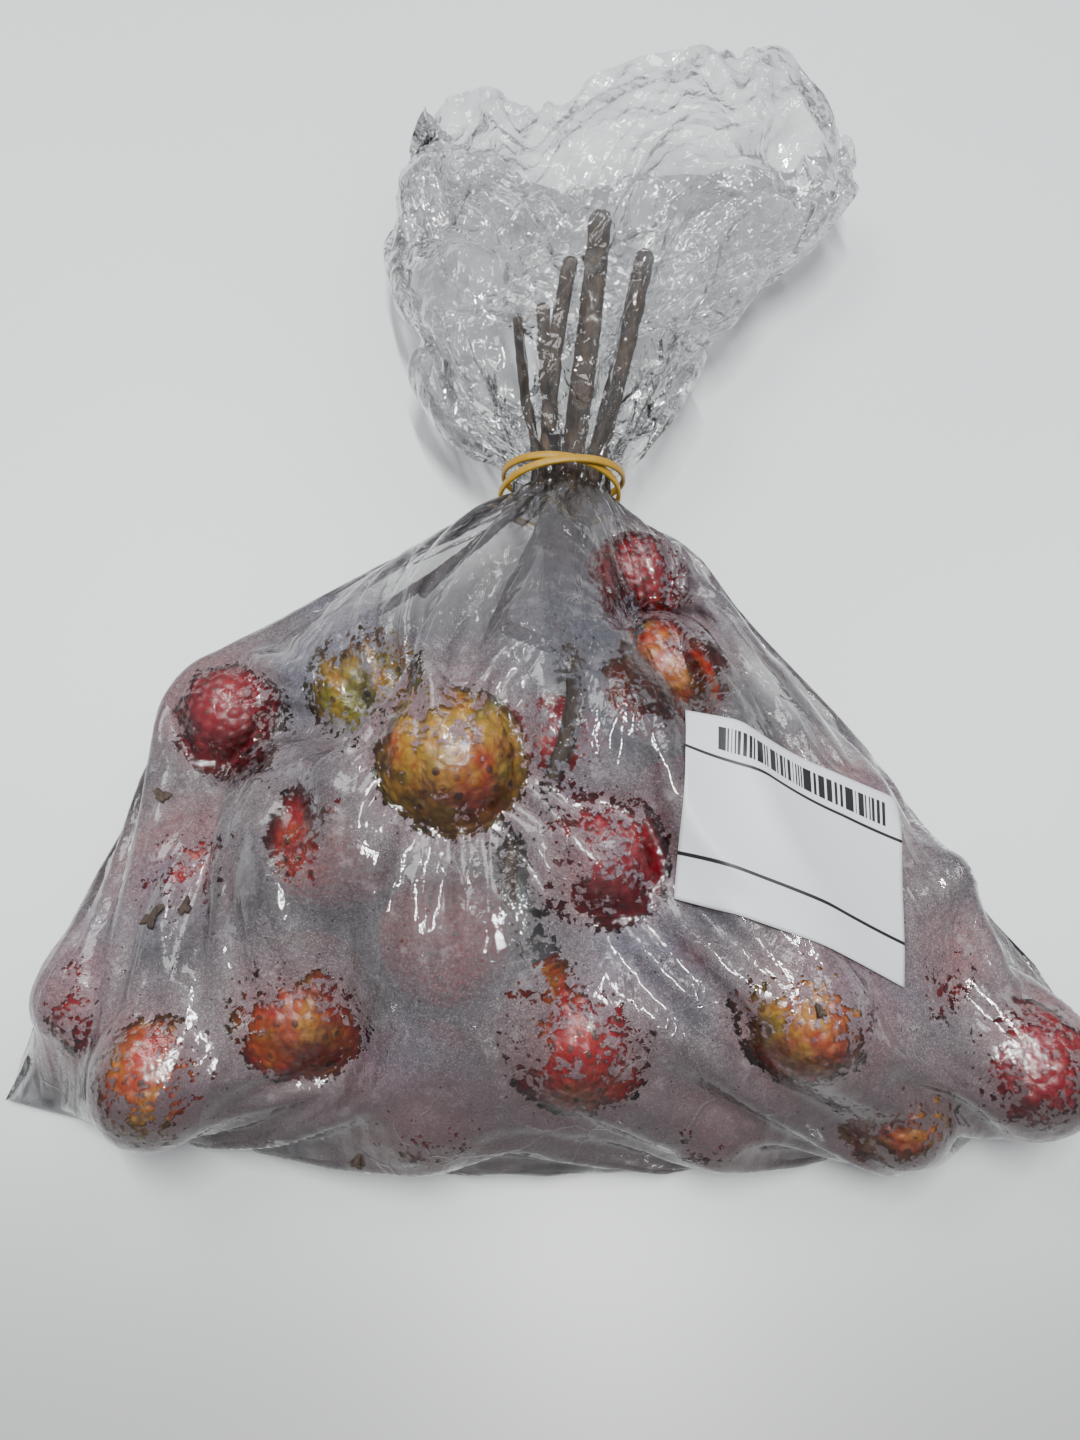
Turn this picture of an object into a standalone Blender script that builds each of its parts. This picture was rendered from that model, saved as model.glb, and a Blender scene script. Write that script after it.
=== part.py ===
"""A bunch of lychees lying in its clear bag. Blender, metres, +Z up, floor at Z=0.
The bag's neck, its rubber band and the cut stalks point to +Y, the sealed end to -Y."""

import math

import bmesh
import bpy
import numpy as np
from mathutils import Quaternion, Vector
from mathutils.bvhtree import BVHTree

MM = 0.001

# Driving dimensions, in millimetres.
FILM = 0.6  # film thickness, drawn thicker than a real bag's
FLOOR_IN = FILM  # height of the film's inner face where it lies on the floor
FRUIT_GAP = 2.0  # film's distance from a fruit's mean skin
BUMPS = 60  # tubercles on a fruit
BUMP_UP = 0.8  # a tubercle's tip over the mean skin
BUMP_DOWN = 0.8  # a valley's depth under it
STALK_GAP = 0.5  # pedicel's end to the fruit's shoulder
NECK = Vector((6.6, 67.0, 26.5))
NECK_HALF_WIDTH, NECK_HALF_HEIGHT = 14.5, 10.5
PLEAT = 0.8  # depth of the pleats under the band
FRILL_LENGTH = 185.0
BAND_WIDTH, BAND_THICK = 2.6, 1.2
LABEL_WIDTH, LABEL_HEIGHT, LABEL_THICK = 58.0, 50.0, 0.6

# Columns of film over the top and under the bottom, rows from the sealed end to the neck.
TOP_COLUMNS, UNDER_COLUMNS = 36, 16
BODY_ROWS, NECK_ROWS, FRILL_ROWS = 30, 3, 11
BODY_KEPT = 0.52  # share of the body's triangles that is kept

# The bag's two side folds, from the sealed end to the neck.
LEFT_SIDE = [
    (-139.5, -110, 1.5), (-133, -97, 5.5), (-131, -83.5, 9), (-120, -68, 10), (-115.5, -46, 10), (-112, -15.5, 11),
    (-104.5, 1, 11), (-88, 15.5, 11), (-61.5, 33, 14.5), (-29.5, 48.5, 20), (-7.5, 62.5, 26.5),
]
RIGHT_SIDE = [
    (144, -109, 1.5), (141, -101, 4.5), (138.5, -90, 9), (133, -77, 9), (123, -64, 9), (116.5, -55, 9),
    (108, -36.5, 10), (92.5, -13, 10), (68, 9, 12), (46, 34, 17.5), (21, 62.5, 26.5),
]

# Fruit: place of the middle (x, y, z), width, and the branch point that its stalk comes from.
FRUITS = {
    "fruit_01": ((-87, -10, 20), 34, (-67, 5.5, 25.5)),
    "fruit_02": ((-49.5, 0, 22), 36.5, (-56, 22, 17.5)),
    "fruit_03": ((-22, -34, 48.5), 40.5, (-22, -22, 12)),
    "fruit_04": ((28.5, 35, 20), 34, (4.5, 33, 22)),
    "fruit_05": ((35, -1, 27.5), 37.5, (6.5, 5.5, 26.5)),
    "fruit_06": ((39.5, -38.5, 20), 34, (21, -29.5, 12)),
    "fruit_07": ((15.5, -57, 39.5), 36.5, (22, -48.5, 13)),
    "fruit_08": ((-54, -47.5, 26.5), 37.5, (-73.5, -37.5, 34)),
    "fruit_09": ((-91.5, -56, 20), 35, (-75, -48.5, 34)),
    "fruit_10": ((-59.5, -90, 22), 37.5, (-77, -79, 35)),
    "fruit_11": ((-91.5, -108, 27.5), 31, (-79, -87, 35)),
    "fruit_12": ((-114.5, -87, 17.5), 28.5, (-78, -81.5, 35)),
    "fruit_13": ((9, -97, 27.5), 39.5, (-5.5, -81.5, 40.5)),
    "fruit_14": ((62.5, -93.5, 37.5), 35, (60.5, -67, 11)),
    "fruit_15": ((120, -104.5, 20), 34, (100, -98, 9)),
    "fruit_16": ((94.5, -78, 20), 35, (75, -81.5, 9)),
    "fruit_17": ((86, -112, 17.5), 31, (77, -94.5, 9)),
    "fruit_18": ((-24, -72.5, 22), 36.5, (-25.5, -49.5, 11)),
    "fruit_19": ((-27.5, -110, 20), 34, (-42, -93.5, 10)),
    "fruit_20": ((38.5, -75, 18.5), 32, (23, -68, 12)),
    "fruit_21": ((75, -46, 29.5), 36.5, (58.5, -33, 10)),
    "fruit_22": ((2, -18.5, 20), 33, (-21, -13, 12)),
    "fruit_23": ((40.5, -112, 17.5), 29.5, (25.5, -90, 10)),
}

# Stem: (x, y, z, radius) from the cut end down, then the cut side twigs as (from, to, radius).
STEMS = {
    "stem_1": (
        [(21, 176, 34, 4.1), (15.5, 121, 32, 4), (9, 67, 29.5, 3.7), (6.5, 35, 34, 3.3), (11, 0, 38.5, 2.9),
         (9, -26.5, 42, 2.5), (-10, -55, 45, 2.1), (-7.5, -72.5, 43, 1.9), (-5.5, -81.5, 40.5, 1.8)],
        [((11, 1, 38.5), (-10, 6.5, 46), 2.2)],
    ),
    "stem_2": (
        [(10, 146.5, 42, 2.6), (4.5, 110, 38, 2.6), (2, 67, 31.5, 2.5), (3.5, 34, 22, 2.3), (6.5, 9, 24, 2.1),
         (14.5, -3.5, 14.5, 1.9), (20, -15.5, 9, 1.8), (22, -31, 11, 1.6), (23, -48.5, 13, 1.6), (23, -68, 12, 1.5), (25.5, -90, 10, 1.4)],
        [],
    ),
    "stem_3": (
        [(1, 142, 26.5, 2.4), (2, 110, 25.5, 2.4), (5, 67, 23, 2.3), (-7.5, 38.5, 17.5, 2.2), (-20, 11, 13, 2.1),
         (-22, -22, 11, 1.9), (-25.5, -48.5, 11, 1.6), (-42, -72.5, 10, 1.5), (-42, -93.5, 10, 1.4)],
        [],
    ),
    "stem_4": (
        [(-7.5, 132, 31, 1.8), (-4.5, 99, 28.5, 1.8), (-1.5, 67, 25.5, 1.6), (-26.5, 35, 29.5, 1.8), (-55, 23, 17.5, 1.6),
         (-67, 10, 21, 1.6), (-69.5, -2, 29.5, 1.5), (-73.5, -37.5, 34, 1.4), (-75, -57, 35, 1.3), (-77, -79, 35, 1.3), (-79, -86, 35, 1.3)],
        [((-26.5, 35, 29.5), (-34, 24, 33), 1.4)],
    ),
    "stem_5": (
        [(36.5, 165, 27.5, 3.5), (27.5, 121, 26.5, 3.4), (15, 67, 24, 3.2), (13, 54, 20.5, 2.8), (10, 39.5, 13, 2.4), (16.5, 14.5, 9, 2.1),
         (40.5, 15.5, 6.5, 2), (58.5, -3.5, 9, 1.9), (58.5, -33, 10, 1.8), (58.5, -49.5, 9, 1.6), (60.5, -68, 10, 1.6),
         (75, -81.5, 9, 1.5), (77, -94.5, 7.5, 1.5), (100, -99, 9, 1.4)],
        [],
    ),
    "twig": ([(92.5, -64, 38, 2), (99, -62.5, 38.5, 2.2), (105.5, -61.5, 38.5, 2.3)], []),
}
# The stem that carries each fruit.
CARRIED = {
    "stem_1": ("fruit_13",),
    "stem_2": ("fruit_04", "fruit_05", "fruit_06", "fruit_07", "fruit_20", "fruit_23"),
    "stem_3": ("fruit_03", "fruit_18", "fruit_19", "fruit_22"),
    "stem_4": ("fruit_01", "fruit_02", "fruit_08", "fruit_09", "fruit_10", "fruit_11", "fruit_12"),
    "stem_5": ("fruit_14", "fruit_15", "fruit_16", "fruit_17", "fruit_21"),
    "twig": (),
}


def clear_scene():
    for obj in list(bpy.data.objects):
        bpy.data.objects.remove(obj, do_unlink=True)


def painted(obj, colour, roughness, alpha=1.0):
    material = bpy.data.materials.new(obj.name)
    material.use_nodes = True
    shader = material.node_tree.nodes["Principled BSDF"]
    shader.inputs["Base Color"].default_value = (*colour, 1.0)
    shader.inputs["Roughness"].default_value = roughness
    shader.inputs["Alpha"].default_value = alpha
    obj.data.materials.append(material)
    return obj


def object_of(name, bm):
    bmesh.ops.triangulate(bm, faces=bm.faces[:])
    bmesh.ops.recalc_face_normals(bm, faces=bm.faces[:])
    mesh = bpy.data.meshes.new(name)
    bm.to_mesh(mesh)
    bm.free()
    obj = bpy.data.objects.new(name, mesh)
    bpy.context.scene.collection.objects.link(obj)
    return obj


# ---------------------------------------------------------------- fruit


def fruit_axis(name):
    middle, _, branch = FRUITS[name]
    return (Vector(branch) - Vector(middle)).normalized()


def heart(direction, width):
    """A lychee's mean skin round its middle: broad shoulders at +Z, a blunter tip at -Z, a shallow dimple."""
    t = direction.z
    round_about = 1.0 + 0.06 * t - 0.05 * t * t
    dimple = 0.09 * math.exp(-((1 - t) / 0.10) ** 1.2)
    along = 1.03 - dimple - 0.02 * t
    half = width / 2
    return Vector((direction.x * round_about * half, direction.y * round_about * 0.97 * half, t * along * half))


def spread(count, seed):
    """Points spread evenly over a ball, each shifted a little."""
    rng = np.random.default_rng(seed)
    points = []
    for i in range(count):
        z = 1 - (2 * i + 1) / count
        turn = i * math.pi * (3 - math.sqrt(5))
        r = math.sqrt(1 - z * z)
        point = Vector((r * math.cos(turn), r * math.sin(turn), z))
        points.append((point + Vector(rng.normal(0, 0.035, 3))).normalized())
    return points


def fruit(name, seed):
    """Each tubercle is a low pyramid: a hull over the tips, poked, then its first edges turned into valleys."""
    middle, width, _ = FRUITS[name]
    bm = bmesh.new()
    tips = [bm.verts.new(p) for p in spread(BUMPS, seed)]
    bmesh.ops.convex_hull(bm, input=tips)
    tips = set(bm.verts)
    between = list(bm.edges)
    bmesh.ops.poke(bm, faces=bm.faces[:])
    bmesh.ops.rotate_edges(bm, edges=between, use_ccw=False)
    turn = Vector((0, 0, 1)).rotation_difference(fruit_axis(name))
    turn = turn @ Quaternion((0, 0, 1), seed * 2.4)
    for vert in bm.verts:
        direction = vert.co.normalized()
        skin = heart(direction, width)
        skin += direction * (BUMP_UP if vert in tips else -BUMP_DOWN)
        vert.co = (Vector(middle) + turn @ skin) * MM
    return painted(object_of(name, bm), (0.55, 0.10, 0.06), 0.6)


# ---------------------------------------------------------------- stems


def smooth_path(points, steps):
    """Catmull-Rom points through (x, y, z, radius) rows."""
    rows = [np.array(p, float) for p in points]
    rows = [2 * rows[0] - rows[1]] + rows + [2 * rows[-1] - rows[-2]]
    found = []
    for a, b, c, d in zip(rows, rows[1:], rows[2:], rows[3:]):
        for i in range(steps):
            t = i / steps
            found.append(0.5 * (2 * b + (c - a) * t + (2 * a - 5 * b + 4 * c - d) * t**2 + (3 * b - a - 3 * c + d) * t**3))
    return found + [rows[-2]]


def routed(name, steps):
    """The stem's path, moved clear of every fruit. Its cut end and its place in the neck stay."""
    path = np.array(smooth_path(STEMS[name][0], steps))
    planned = path[:, :3].copy()
    free = path[:, 1] < NECK.y - 9
    if name == "twig":
        return path
    for turn in range(60):
        old = path[:, :3].copy()
        if turn < 45:
            path[1:-1, :3] = 0.5 * path[1:-1, :3] + 0.15 * (path[:-2, :3] + path[2:, :3]) + 0.2 * planned[1:-1]
        for middle, width, _ in FRUITS.values():
            away = path[:, :3] - middle
            length = np.linalg.norm(away, axis=1)
            wanted = width / 2 * 1.04 + BUMP_UP + path[:, 3] + 0.7
            close = length < wanted
            path[close, :3] = (np.array(middle) + away * (wanted / length)[:, None])[close]
        path[~free, :3] = old[~free]
    return path


def tube(path, sides):
    """A closed tube along (x, y, z, radius) rows, its section carried along without twist."""
    bm = bmesh.new()
    points = [Vector(row[:3]) for row in path]
    tangents = []
    for i in range(len(points)):
        before, after = points[max(i - 1, 0)], points[min(i + 1, len(points) - 1)]
        tangents.append((after - before).normalized())
    side = tangents[0].orthogonal().normalized()
    rings = []
    for point, tangent, row in zip(points, tangents, path):
        side = (side - tangent * side.dot(tangent)).normalized()
        up = tangent.cross(side)
        ring = []
        for k in range(sides):
            a = 2 * math.pi * k / sides
            ring.append(bm.verts.new((point + (side * math.cos(a) + up * math.sin(a)) * row[3]) * MM))
        rings.append(ring)
    for low, high in zip(rings, rings[1:]):
        for k in range(sides):
            bm.faces.new((low[k], low[(k + 1) % sides], high[(k + 1) % sides], high[k]))
    bm.faces.new(list(reversed(rings[0])))
    bm.faces.new(rings[-1])
    return bm


def joined(base, helpers):
    """One body of the base and its helpers by Boolean union, with the helpers removed."""
    for helper in helpers:
        union = base.modifiers.new(helper.name, "BOOLEAN")
        union.operation = "UNION"
        union.solver = "EXACT"
        union.object = helper
    bpy.context.view_layer.update()
    whole = bpy.data.meshes.new_from_object(base.evaluated_get(bpy.context.evaluated_depsgraph_get()))
    base.modifiers.clear()
    base.data = whole
    for helper in helpers:
        bpy.data.objects.remove(helper, do_unlink=True)
    return base


def pedicel_rows(name, path):
    """From inside the stem to just off the fruit's shoulder, ending along the fruit's own axis."""
    middle, width, branch = FRUITS[name]
    axis = fruit_axis(name)
    root = Vector(nearest_on(path, branch)[:3])
    tip = 0.5 * width * (1.03 - 0.09 - 0.02) + BUMP_UP + STALK_GAP
    end = Vector(middle) + axis * tip
    bend = end + axis * min(3.5, 0.5 * (root - end).length)
    return [(*root, 1.2 + 0.01 * (width % 5)), (*((root + bend) / 2), 1.05), (*bend, 1.05), (*end, 1.4)]


def nearest_on(path, point):
    gaps = [(Vector(row[:3]) - Vector(point)).length for row in path]
    return path[int(np.argmin(gaps))]


def stem(name):
    twigs = STEMS[name][1]
    path = routed(name, 2)
    base = object_of(name, tube(path, 6))
    helpers = []
    for child in CARRIED[name]:
        helpers.append(object_of(child + "_pedicel", tube(pedicel_rows(child, path), 5)))
    for i, (start, end, radius) in enumerate(twigs):
        start = nearest_on(path, start)[:3]
        helpers.append(object_of(f"{name}_twig_{i}", tube([(*start, radius), (*end, radius * 1.1)], 5)))
    if helpers:
        base = joined(base, helpers)
    return painted(base, (0.17, 0.10, 0.05), 0.8)


# ---------------------------------------------------------------- bag


def along(points, count):
    """Points at even steps of arc length along a polyline."""
    points = np.array(points, float)
    lengths = np.concatenate([[0], np.cumsum(np.linalg.norm(np.diff(points, axis=0), axis=1))])
    wanted = np.linspace(0, lengths[-1], count)
    return np.stack([np.interp(wanted, lengths, points[:, k]) for k in range(points.shape[1])], axis=1)


def column_angles():
    """(body angle, neck angle) of each column: 0 at +X, a quarter turn at the top."""
    body, neck = [], []
    total = TOP_COLUMNS + UNDER_COLUMNS
    for c in range(total):
        if c < TOP_COLUMNS:
            body.append(math.pi * c / TOP_COLUMNS)
        else:
            body.append(math.pi + math.pi * (c - TOP_COLUMNS) / UNDER_COLUMNS)
        neck.append(math.pi / 2 + 2 * math.pi * (c - TOP_COLUMNS / 2) / total)
    return body, neck


def pleat(c, depth):
    return depth * (-1, 0, 1, 0)[c % 4]


def neck_ring(shift, depth):
    _, angles = column_angles()
    ring = []
    for c, a in enumerate(angles):
        out = pleat(c, depth)
        x = NECK.x + (NECK_HALF_WIDTH + out) * math.cos(a)
        z = NECK.z + (NECK_HALF_HEIGHT + out) * math.sin(a)
        ring.append((x, NECK.y + shift, z))
    return ring


def body_grid():
    """First shape of the film from the sealed end to the neck, before it is drawn tight."""
    left = along(LEFT_SIDE, BODY_ROWS + 1)
    right = along(RIGHT_SIDE, BODY_ROWS + 1)
    top = along([(0, -128, 2.4), (0, -132, 15), (0, -132, 31), (0, -123, 46), (0, -94, 66), (0, -33, 79),
                 (2, 11, 66), (6.6, 63, 37)], BODY_ROWS + 1)
    under = along([(0, -128, FLOOR_IN), (0, 15, FLOOR_IN), (6.6, 63, 15.5)], BODY_ROWS + 1)
    angles, _ = column_angles()
    grid = []
    for r in range(BODY_ROWS + 1):
        ring = []
        for a in angles:
            across = 0.5 + 0.5 * math.cos(a)
            edge = left[r] * (1 - across) + right[r] * across
            middle = (top if math.sin(a) >= 0 else under)[r]
            lift = abs(math.sin(a)) ** (2.0 if r == 0 else 0.7)
            y = edge[1] * (1 - lift) + middle[1] * lift
            z = edge[2] * (1 - lift) + middle[2] * lift
            ring.append((edge[0], y, z))
        grid.append(ring)
    grid[-1] = neck_ring(-4.4, PLEAT)
    return np.array(grid)


def balls():
    """What the film is drawn over: (x, y, z, radius) of every fruit and of points along every stem.
    A high stem's balls are larger and centred lower, so that a coarse film can't slip past it."""
    found = []
    for middle, width, _ in FRUITS.values():
        found.append((*middle, width / 2 * 1.03 + FRUIT_GAP))
    for name, (_, twigs) in STEMS.items():
        for row in routed(name, 6):
            if row[1] < NECK.y - 15:
                deep = 5.5 if row[2] > 28 else 0.0
                found.append((row[0], row[1], row[2] - deep, row[3] + 1.3 + deep))
        for _, end, radius in twigs:
            found.append((end[0], end[1], end[2] - 6.5, radius + 7.9))
    return np.array(found)


def pushed_out(points, solid_balls):
    for ball in solid_balls:
        away = points - ball[:3]
        length = np.linalg.norm(away, axis=-1, keepdims=True)
        inside = (length < ball[3]) & (length > 1e-6)
        points = np.where(inside, ball[:3] + away / np.maximum(length, 1e-6) * ball[3], points)
    return points


def drawn_tight(grid, rounds):
    """Smooths the film like a stretched skin, holding its sealed end, side folds, neck and flat underside."""
    start = grid.copy()
    solid_balls = balls()
    under = np.arange(grid.shape[1]) > TOP_COLUMNS
    for _ in range(rounds):
        around = (np.roll(grid, 1, axis=1) + np.roll(grid, -1, axis=1)) / 2
        length = grid.copy()
        length[1:-1] = (grid[:-2] + grid[2:]) / 2
        grid = 0.4 * grid + 0.3 * around + 0.3 * length
        grid = pushed_out(grid, solid_balls)
        grid[..., 2] = np.maximum(grid[..., 2], FLOOR_IN)
        flat = under[None, :] & (grid[..., 1] < 13)
        grid[..., 2] = np.where(flat, FLOOR_IN, grid[..., 2])
        grid[0], grid[-1] = start[0], start[-1]
        grid[:-3, [0, TOP_COLUMNS]] = start[:-3, [0, TOP_COLUMNS]]
    return grid


def frill_ring(s):
    """Film over the band at share s of its length: it flares flat and wide, with pleats that open into lobes."""
    _, angles = column_angles()
    half_width = NECK_HALF_WIDTH + 57 * (1 - math.exp(-3.2 * s))
    half_height = NECK_HALF_HEIGHT + 15 * s**0.6
    ring = []
    for c, a in enumerate(angles):
        lobes = s**0.7 * (0.085 * math.cos(5 * a + 1.1 + 1.3 * s) + 0.06 * math.cos(3 * a + 0.4))
        fine = pleat(c, PLEAT + 2.1 * min(1.0, 3 * s)) * (1 - 0.35 * s)
        x = NECK.x + 21 * s + (half_width * (1 + lobes) + fine) * math.cos(a)
        z = NECK.z + 8 * s + (half_height * (1 + 1.6 * lobes) + fine) * math.sin(a)
        rim = 9 * math.sin(2 * a + 0.6) + 8 * math.cos(3 * a)
        ring.append((x, NECK.y + 5.5 + s * (FRILL_LENGTH + rim * s), max(z, FLOOR_IN + 0.4)))
    return ring


def seal(bm, ring):
    """Closes the flattened end ring with a strip between its upper and lower edges, from +X to -X."""
    upper = ring[: TOP_COLUMNS + 1]
    lower = [ring[0]] + ring[:TOP_COLUMNS - 1 : -1]
    i, j = 0, 0
    while i < len(upper) - 1 or j < len(lower) - 1:
        on_upper = j == len(lower) - 1 or (i < len(upper) - 1 and upper[i + 1].co.x > lower[j + 1].co.x)
        corners = [upper[i], lower[j], upper[i + 1] if on_upper else lower[j + 1]]
        if len(set(corners)) == 3:
            bm.faces.new(corners)
        i, j = (i + 1, j) if on_upper else (i, j + 1)


def film_mesh(grid):
    bm = bmesh.new()
    rows = [[bm.verts.new(p) for p in ring] for ring in grid]
    count = len(rows[0])
    for low, high in zip(rows, rows[1:]):
        for c in range(count):
            d = (c + 1) % count
            bm.faces.new((low[c], low[d], high[d], high[c]))
    seal(bm, rows[0])
    bmesh.ops.triangulate(bm, faces=bm.faces[:])
    bmesh.ops.recalc_face_normals(bm, faces=bm.faces[:])
    return bm


def thinned(bm, keep_from_row, columns):
    """Fewer triangles where the film is plain. Rows from keep_from_row on are left as they are."""
    mesh = bpy.data.meshes.new("film")
    bm.to_mesh(mesh)
    bm.free()
    obj = bpy.data.objects.new("film", mesh)
    bpy.context.scene.collection.objects.link(obj)
    group = obj.vertex_groups.new(name="body")
    group.add(list(range(columns, keep_from_row * columns)), 1.0, "REPLACE")
    reduce = obj.modifiers.new("reduce", "DECIMATE")
    reduce.vertex_group = "body"
    reduce.ratio = BODY_KEPT
    bpy.context.view_layer.update()
    fewer = bpy.data.meshes.new_from_object(obj.evaluated_get(bpy.context.evaluated_depsgraph_get()))
    bpy.data.objects.remove(obj, do_unlink=True)
    bm = bmesh.new()
    bm.from_mesh(fewer)
    return bm


def kept_clear(bm, rounds):
    """Moves corners out until no edge or face middle is nearer a ball than it should be."""
    bm.verts.ensure_lookup_table()
    solid_balls = balls()
    points = np.array([v.co for v in bm.verts])
    groups = [np.array([[v.index for v in e.verts] for e in bm.edges])]
    groups.append(np.array([[v.index for v in f.verts] for f in bm.faces if len(f.verts) == 3]))
    low = points[:, 2] < FLOOR_IN + 0.3
    held = points[low] * (1, 1, 0) + (0, 0, FLOOR_IN)
    for _ in range(rounds):
        for group in groups:
            middles = points[group].mean(axis=1)
            shift = pushed_out(middles, solid_balls) - middles
            for k in range(group.shape[1]):
                np.add.at(points, group[:, k], 0.35 * shift)
        points = pushed_out(points, solid_balls)
        points[low] = held
    points[:, 2] = np.maximum(points[:, 2], FLOOR_IN)
    for vert, point in zip(bm.verts, points):
        vert.co = point
    return bm


def thickened(bm):
    """The film's outer face, FILM outside the inner one, and the rim that joins them at the mouth."""
    bm.normal_update()
    inner = list(bm.verts)
    faces = list(bm.faces)
    rim = [e for e in bm.edges if e.is_boundary]
    outer = {}
    for vert in inner:
        factor = min(1.5, max(1.0, vert.calc_shell_factor()))
        point = vert.co + vert.normal * FILM * factor
        if vert.co.z < FLOOR_IN + 0.02:
            point.z = 0.0
        point.z = max(point.z, 0.0)
        outer[vert] = bm.verts.new(point)
    for face in faces:
        bm.faces.new([outer[v] for v in face.verts])
    for edge in rim:
        a, b = edge.verts
        bm.faces.new((a, b, outer[b], outer[a]))
    for face in faces:
        face.normal_flip()
    for vert in bm.verts:
        vert.co *= MM
    return bm


def bag():
    grid = drawn_tight(body_grid(), 160)
    rings = [list(map(tuple, ring)) for ring in grid]
    rings += [neck_ring(shift, PLEAT) for shift in np.linspace(-2.2, 5.5, NECK_ROWS)]
    rings += [frill_ring(i / FRILL_ROWS) for i in range(1, FRILL_ROWS + 1)]
    columns = TOP_COLUMNS + UNDER_COLUMNS
    bm = thinned(film_mesh(rings), BODY_ROWS - 2, columns)
    bm = thickened(kept_clear(bm, 90))
    return painted(object_of("bag", bm), (0.86, 0.87, 0.88), 0.15, 0.3)


# ---------------------------------------------------------------- band and label


def rubber_band():
    """One loop wound twice round the neck: the windings lie apart at -X and cross at the top right."""
    bm = bmesh.new()
    count, cross = 64, math.radians(62)
    rings = []
    for i in range(count):
        t = 4 * math.pi * i / count
        swing = math.sin((t - cross) / 2)
        level = math.cos((t - cross) / 2)
        out = PLEAT + FILM + 1.0 + BAND_THICK / 2 + 0.9 + 0.9 * level
        centre = Vector((
            NECK.x + (NECK_HALF_WIDTH + out) * math.cos(t),
            NECK.y - 5.3 * swing,
            NECK.z + (NECK_HALF_HEIGHT + out) * math.sin(t),
        ))
        normal = Vector((math.cos(t), 0, math.sin(t)))
        ring = []
        for k in range(6):
            a = math.pi / 3 * k
            ring.append(bm.verts.new((
                centre + normal * BAND_THICK / 2 * math.sin(a) + Vector((0, 1, 0)) * BAND_WIDTH / 2 * math.cos(a)
            ) * MM))
        rings.append(ring)
    for i in range(count):
        low, high = rings[i], rings[(i + 1) % count]
        for k in range(6):
            bm.faces.new((low[k], low[(k + 1) % 6], high[(k + 1) % 6], high[k]))
    return painted(object_of("rubber_band", bm), (0.80, 0.52, 0.08), 0.45)


def label(bag_object):
    """A sticker that follows the film's outer face, lifted clear of it."""
    mesh = bmesh.new()
    mesh.from_mesh(bag_object.data)
    film = BVHTree.FromBMesh(mesh)
    mesh.free()
    columns, rows, turn = 9, 8, math.radians(-16)
    centre = Vector((62, -53.5, 0))
    right = Vector((math.cos(turn), math.sin(turn), 0))
    up = Vector((-math.sin(turn), math.cos(turn), 0))

    def height(u, v):
        over = (centre + right * u + up * v) * MM
        hit = film.ray_cast(Vector((over.x, over.y, 0.2)), Vector((0, 0, -1)))[0]
        return hit.z / MM

    heights = np.zeros((rows, columns))
    us = np.linspace(-LABEL_WIDTH / 2, LABEL_WIDTH / 2, columns)
    vs = np.linspace(-LABEL_HEIGHT / 2, LABEL_HEIGHT / 2, rows)
    for j, v in enumerate(vs):
        for i, u in enumerate(us):
            heights[j, i] = max(height(u + du, v + dv) for du in (-3, 0, 3) for dv in (-3, 0, 3))
    floor = heights.copy()
    for _ in range(30):
        padded = np.pad(heights, 1, mode="edge")
        mean = (padded[:-2, 1:-1] + padded[2:, 1:-1] + padded[1:-1, :-2] + padded[1:-1, 2:]) / 4
        heights = np.maximum(floor, 0.5 * heights + 0.5 * mean)
    bm = bmesh.new()
    layers = []
    for lift in (0.5, 0.5 + LABEL_THICK):
        layer = []
        for j, v in enumerate(vs):
            layer.append([
                bm.verts.new(((centre + right * u + up * v) + Vector((0, 0, heights[j, i] + lift))) * MM)
                for i, u in enumerate(us)
            ])
        layers.append(layer)
    low, high = layers
    for j in range(rows - 1):
        for i in range(columns - 1):
            bm.faces.new((low[j][i], low[j + 1][i], low[j + 1][i + 1], low[j][i + 1]))
            bm.faces.new((high[j][i], high[j][i + 1], high[j + 1][i + 1], high[j + 1][i]))
    for layer_low, layer_high in (
        ([low[0][i] for i in range(columns)], [high[0][i] for i in range(columns)]),
        ([low[-1][i] for i in range(columns)], [high[-1][i] for i in range(columns)]),
        ([low[j][0] for j in range(rows)], [high[j][0] for j in range(rows)]),
        ([low[j][-1] for j in range(rows)], [high[j][-1] for j in range(rows)]),
    ):
        for k in range(len(layer_low) - 1):
            bm.faces.new((layer_low[k], layer_low[k + 1], layer_high[k + 1], layer_high[k]))
    return painted(object_of("label", bm), (0.9, 0.9, 0.9), 0.5)


def centred(objects):
    """Puts the middle of everything over the origin, with the underside at Z=0."""
    points = [v.co for obj in objects for v in obj.data.vertices]
    low = Vector([min(p[k] for p in points) for k in range(3)])
    high = Vector([max(p[k] for p in points) for k in range(3)])
    shift = Vector((-(low.x + high.x) / 2, -(low.y + high.y) / 2, -low.z))
    for obj in objects:
        for vert in obj.data.vertices:
            vert.co += shift
        obj.data.update()
    print("shift mm", [round(s / MM, 2) for s in shift])


def build():
    clear_scene()
    made = [fruit(name, i + 1) for i, name in enumerate(FRUITS)]
    made += [stem(name) for name in STEMS]
    bag_object = bag()
    made += [bag_object, rubber_band(), label(bag_object)]
    centred(made)


build()
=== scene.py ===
# %% [markdown]
# A bunch of lychees in its clear bag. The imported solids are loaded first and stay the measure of
# everything: each dressed piece is made where its solid lies. The bag lies on its back on a pale
# table, neck away from us, so the fruit is seen through one thin layer of film.

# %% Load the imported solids
import math

import bmesh
import bpy
import numpy as np
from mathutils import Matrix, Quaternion, Vector
from mathutils.bvhtree import BVHTree
from mathutils.kdtree import KDTree


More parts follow.
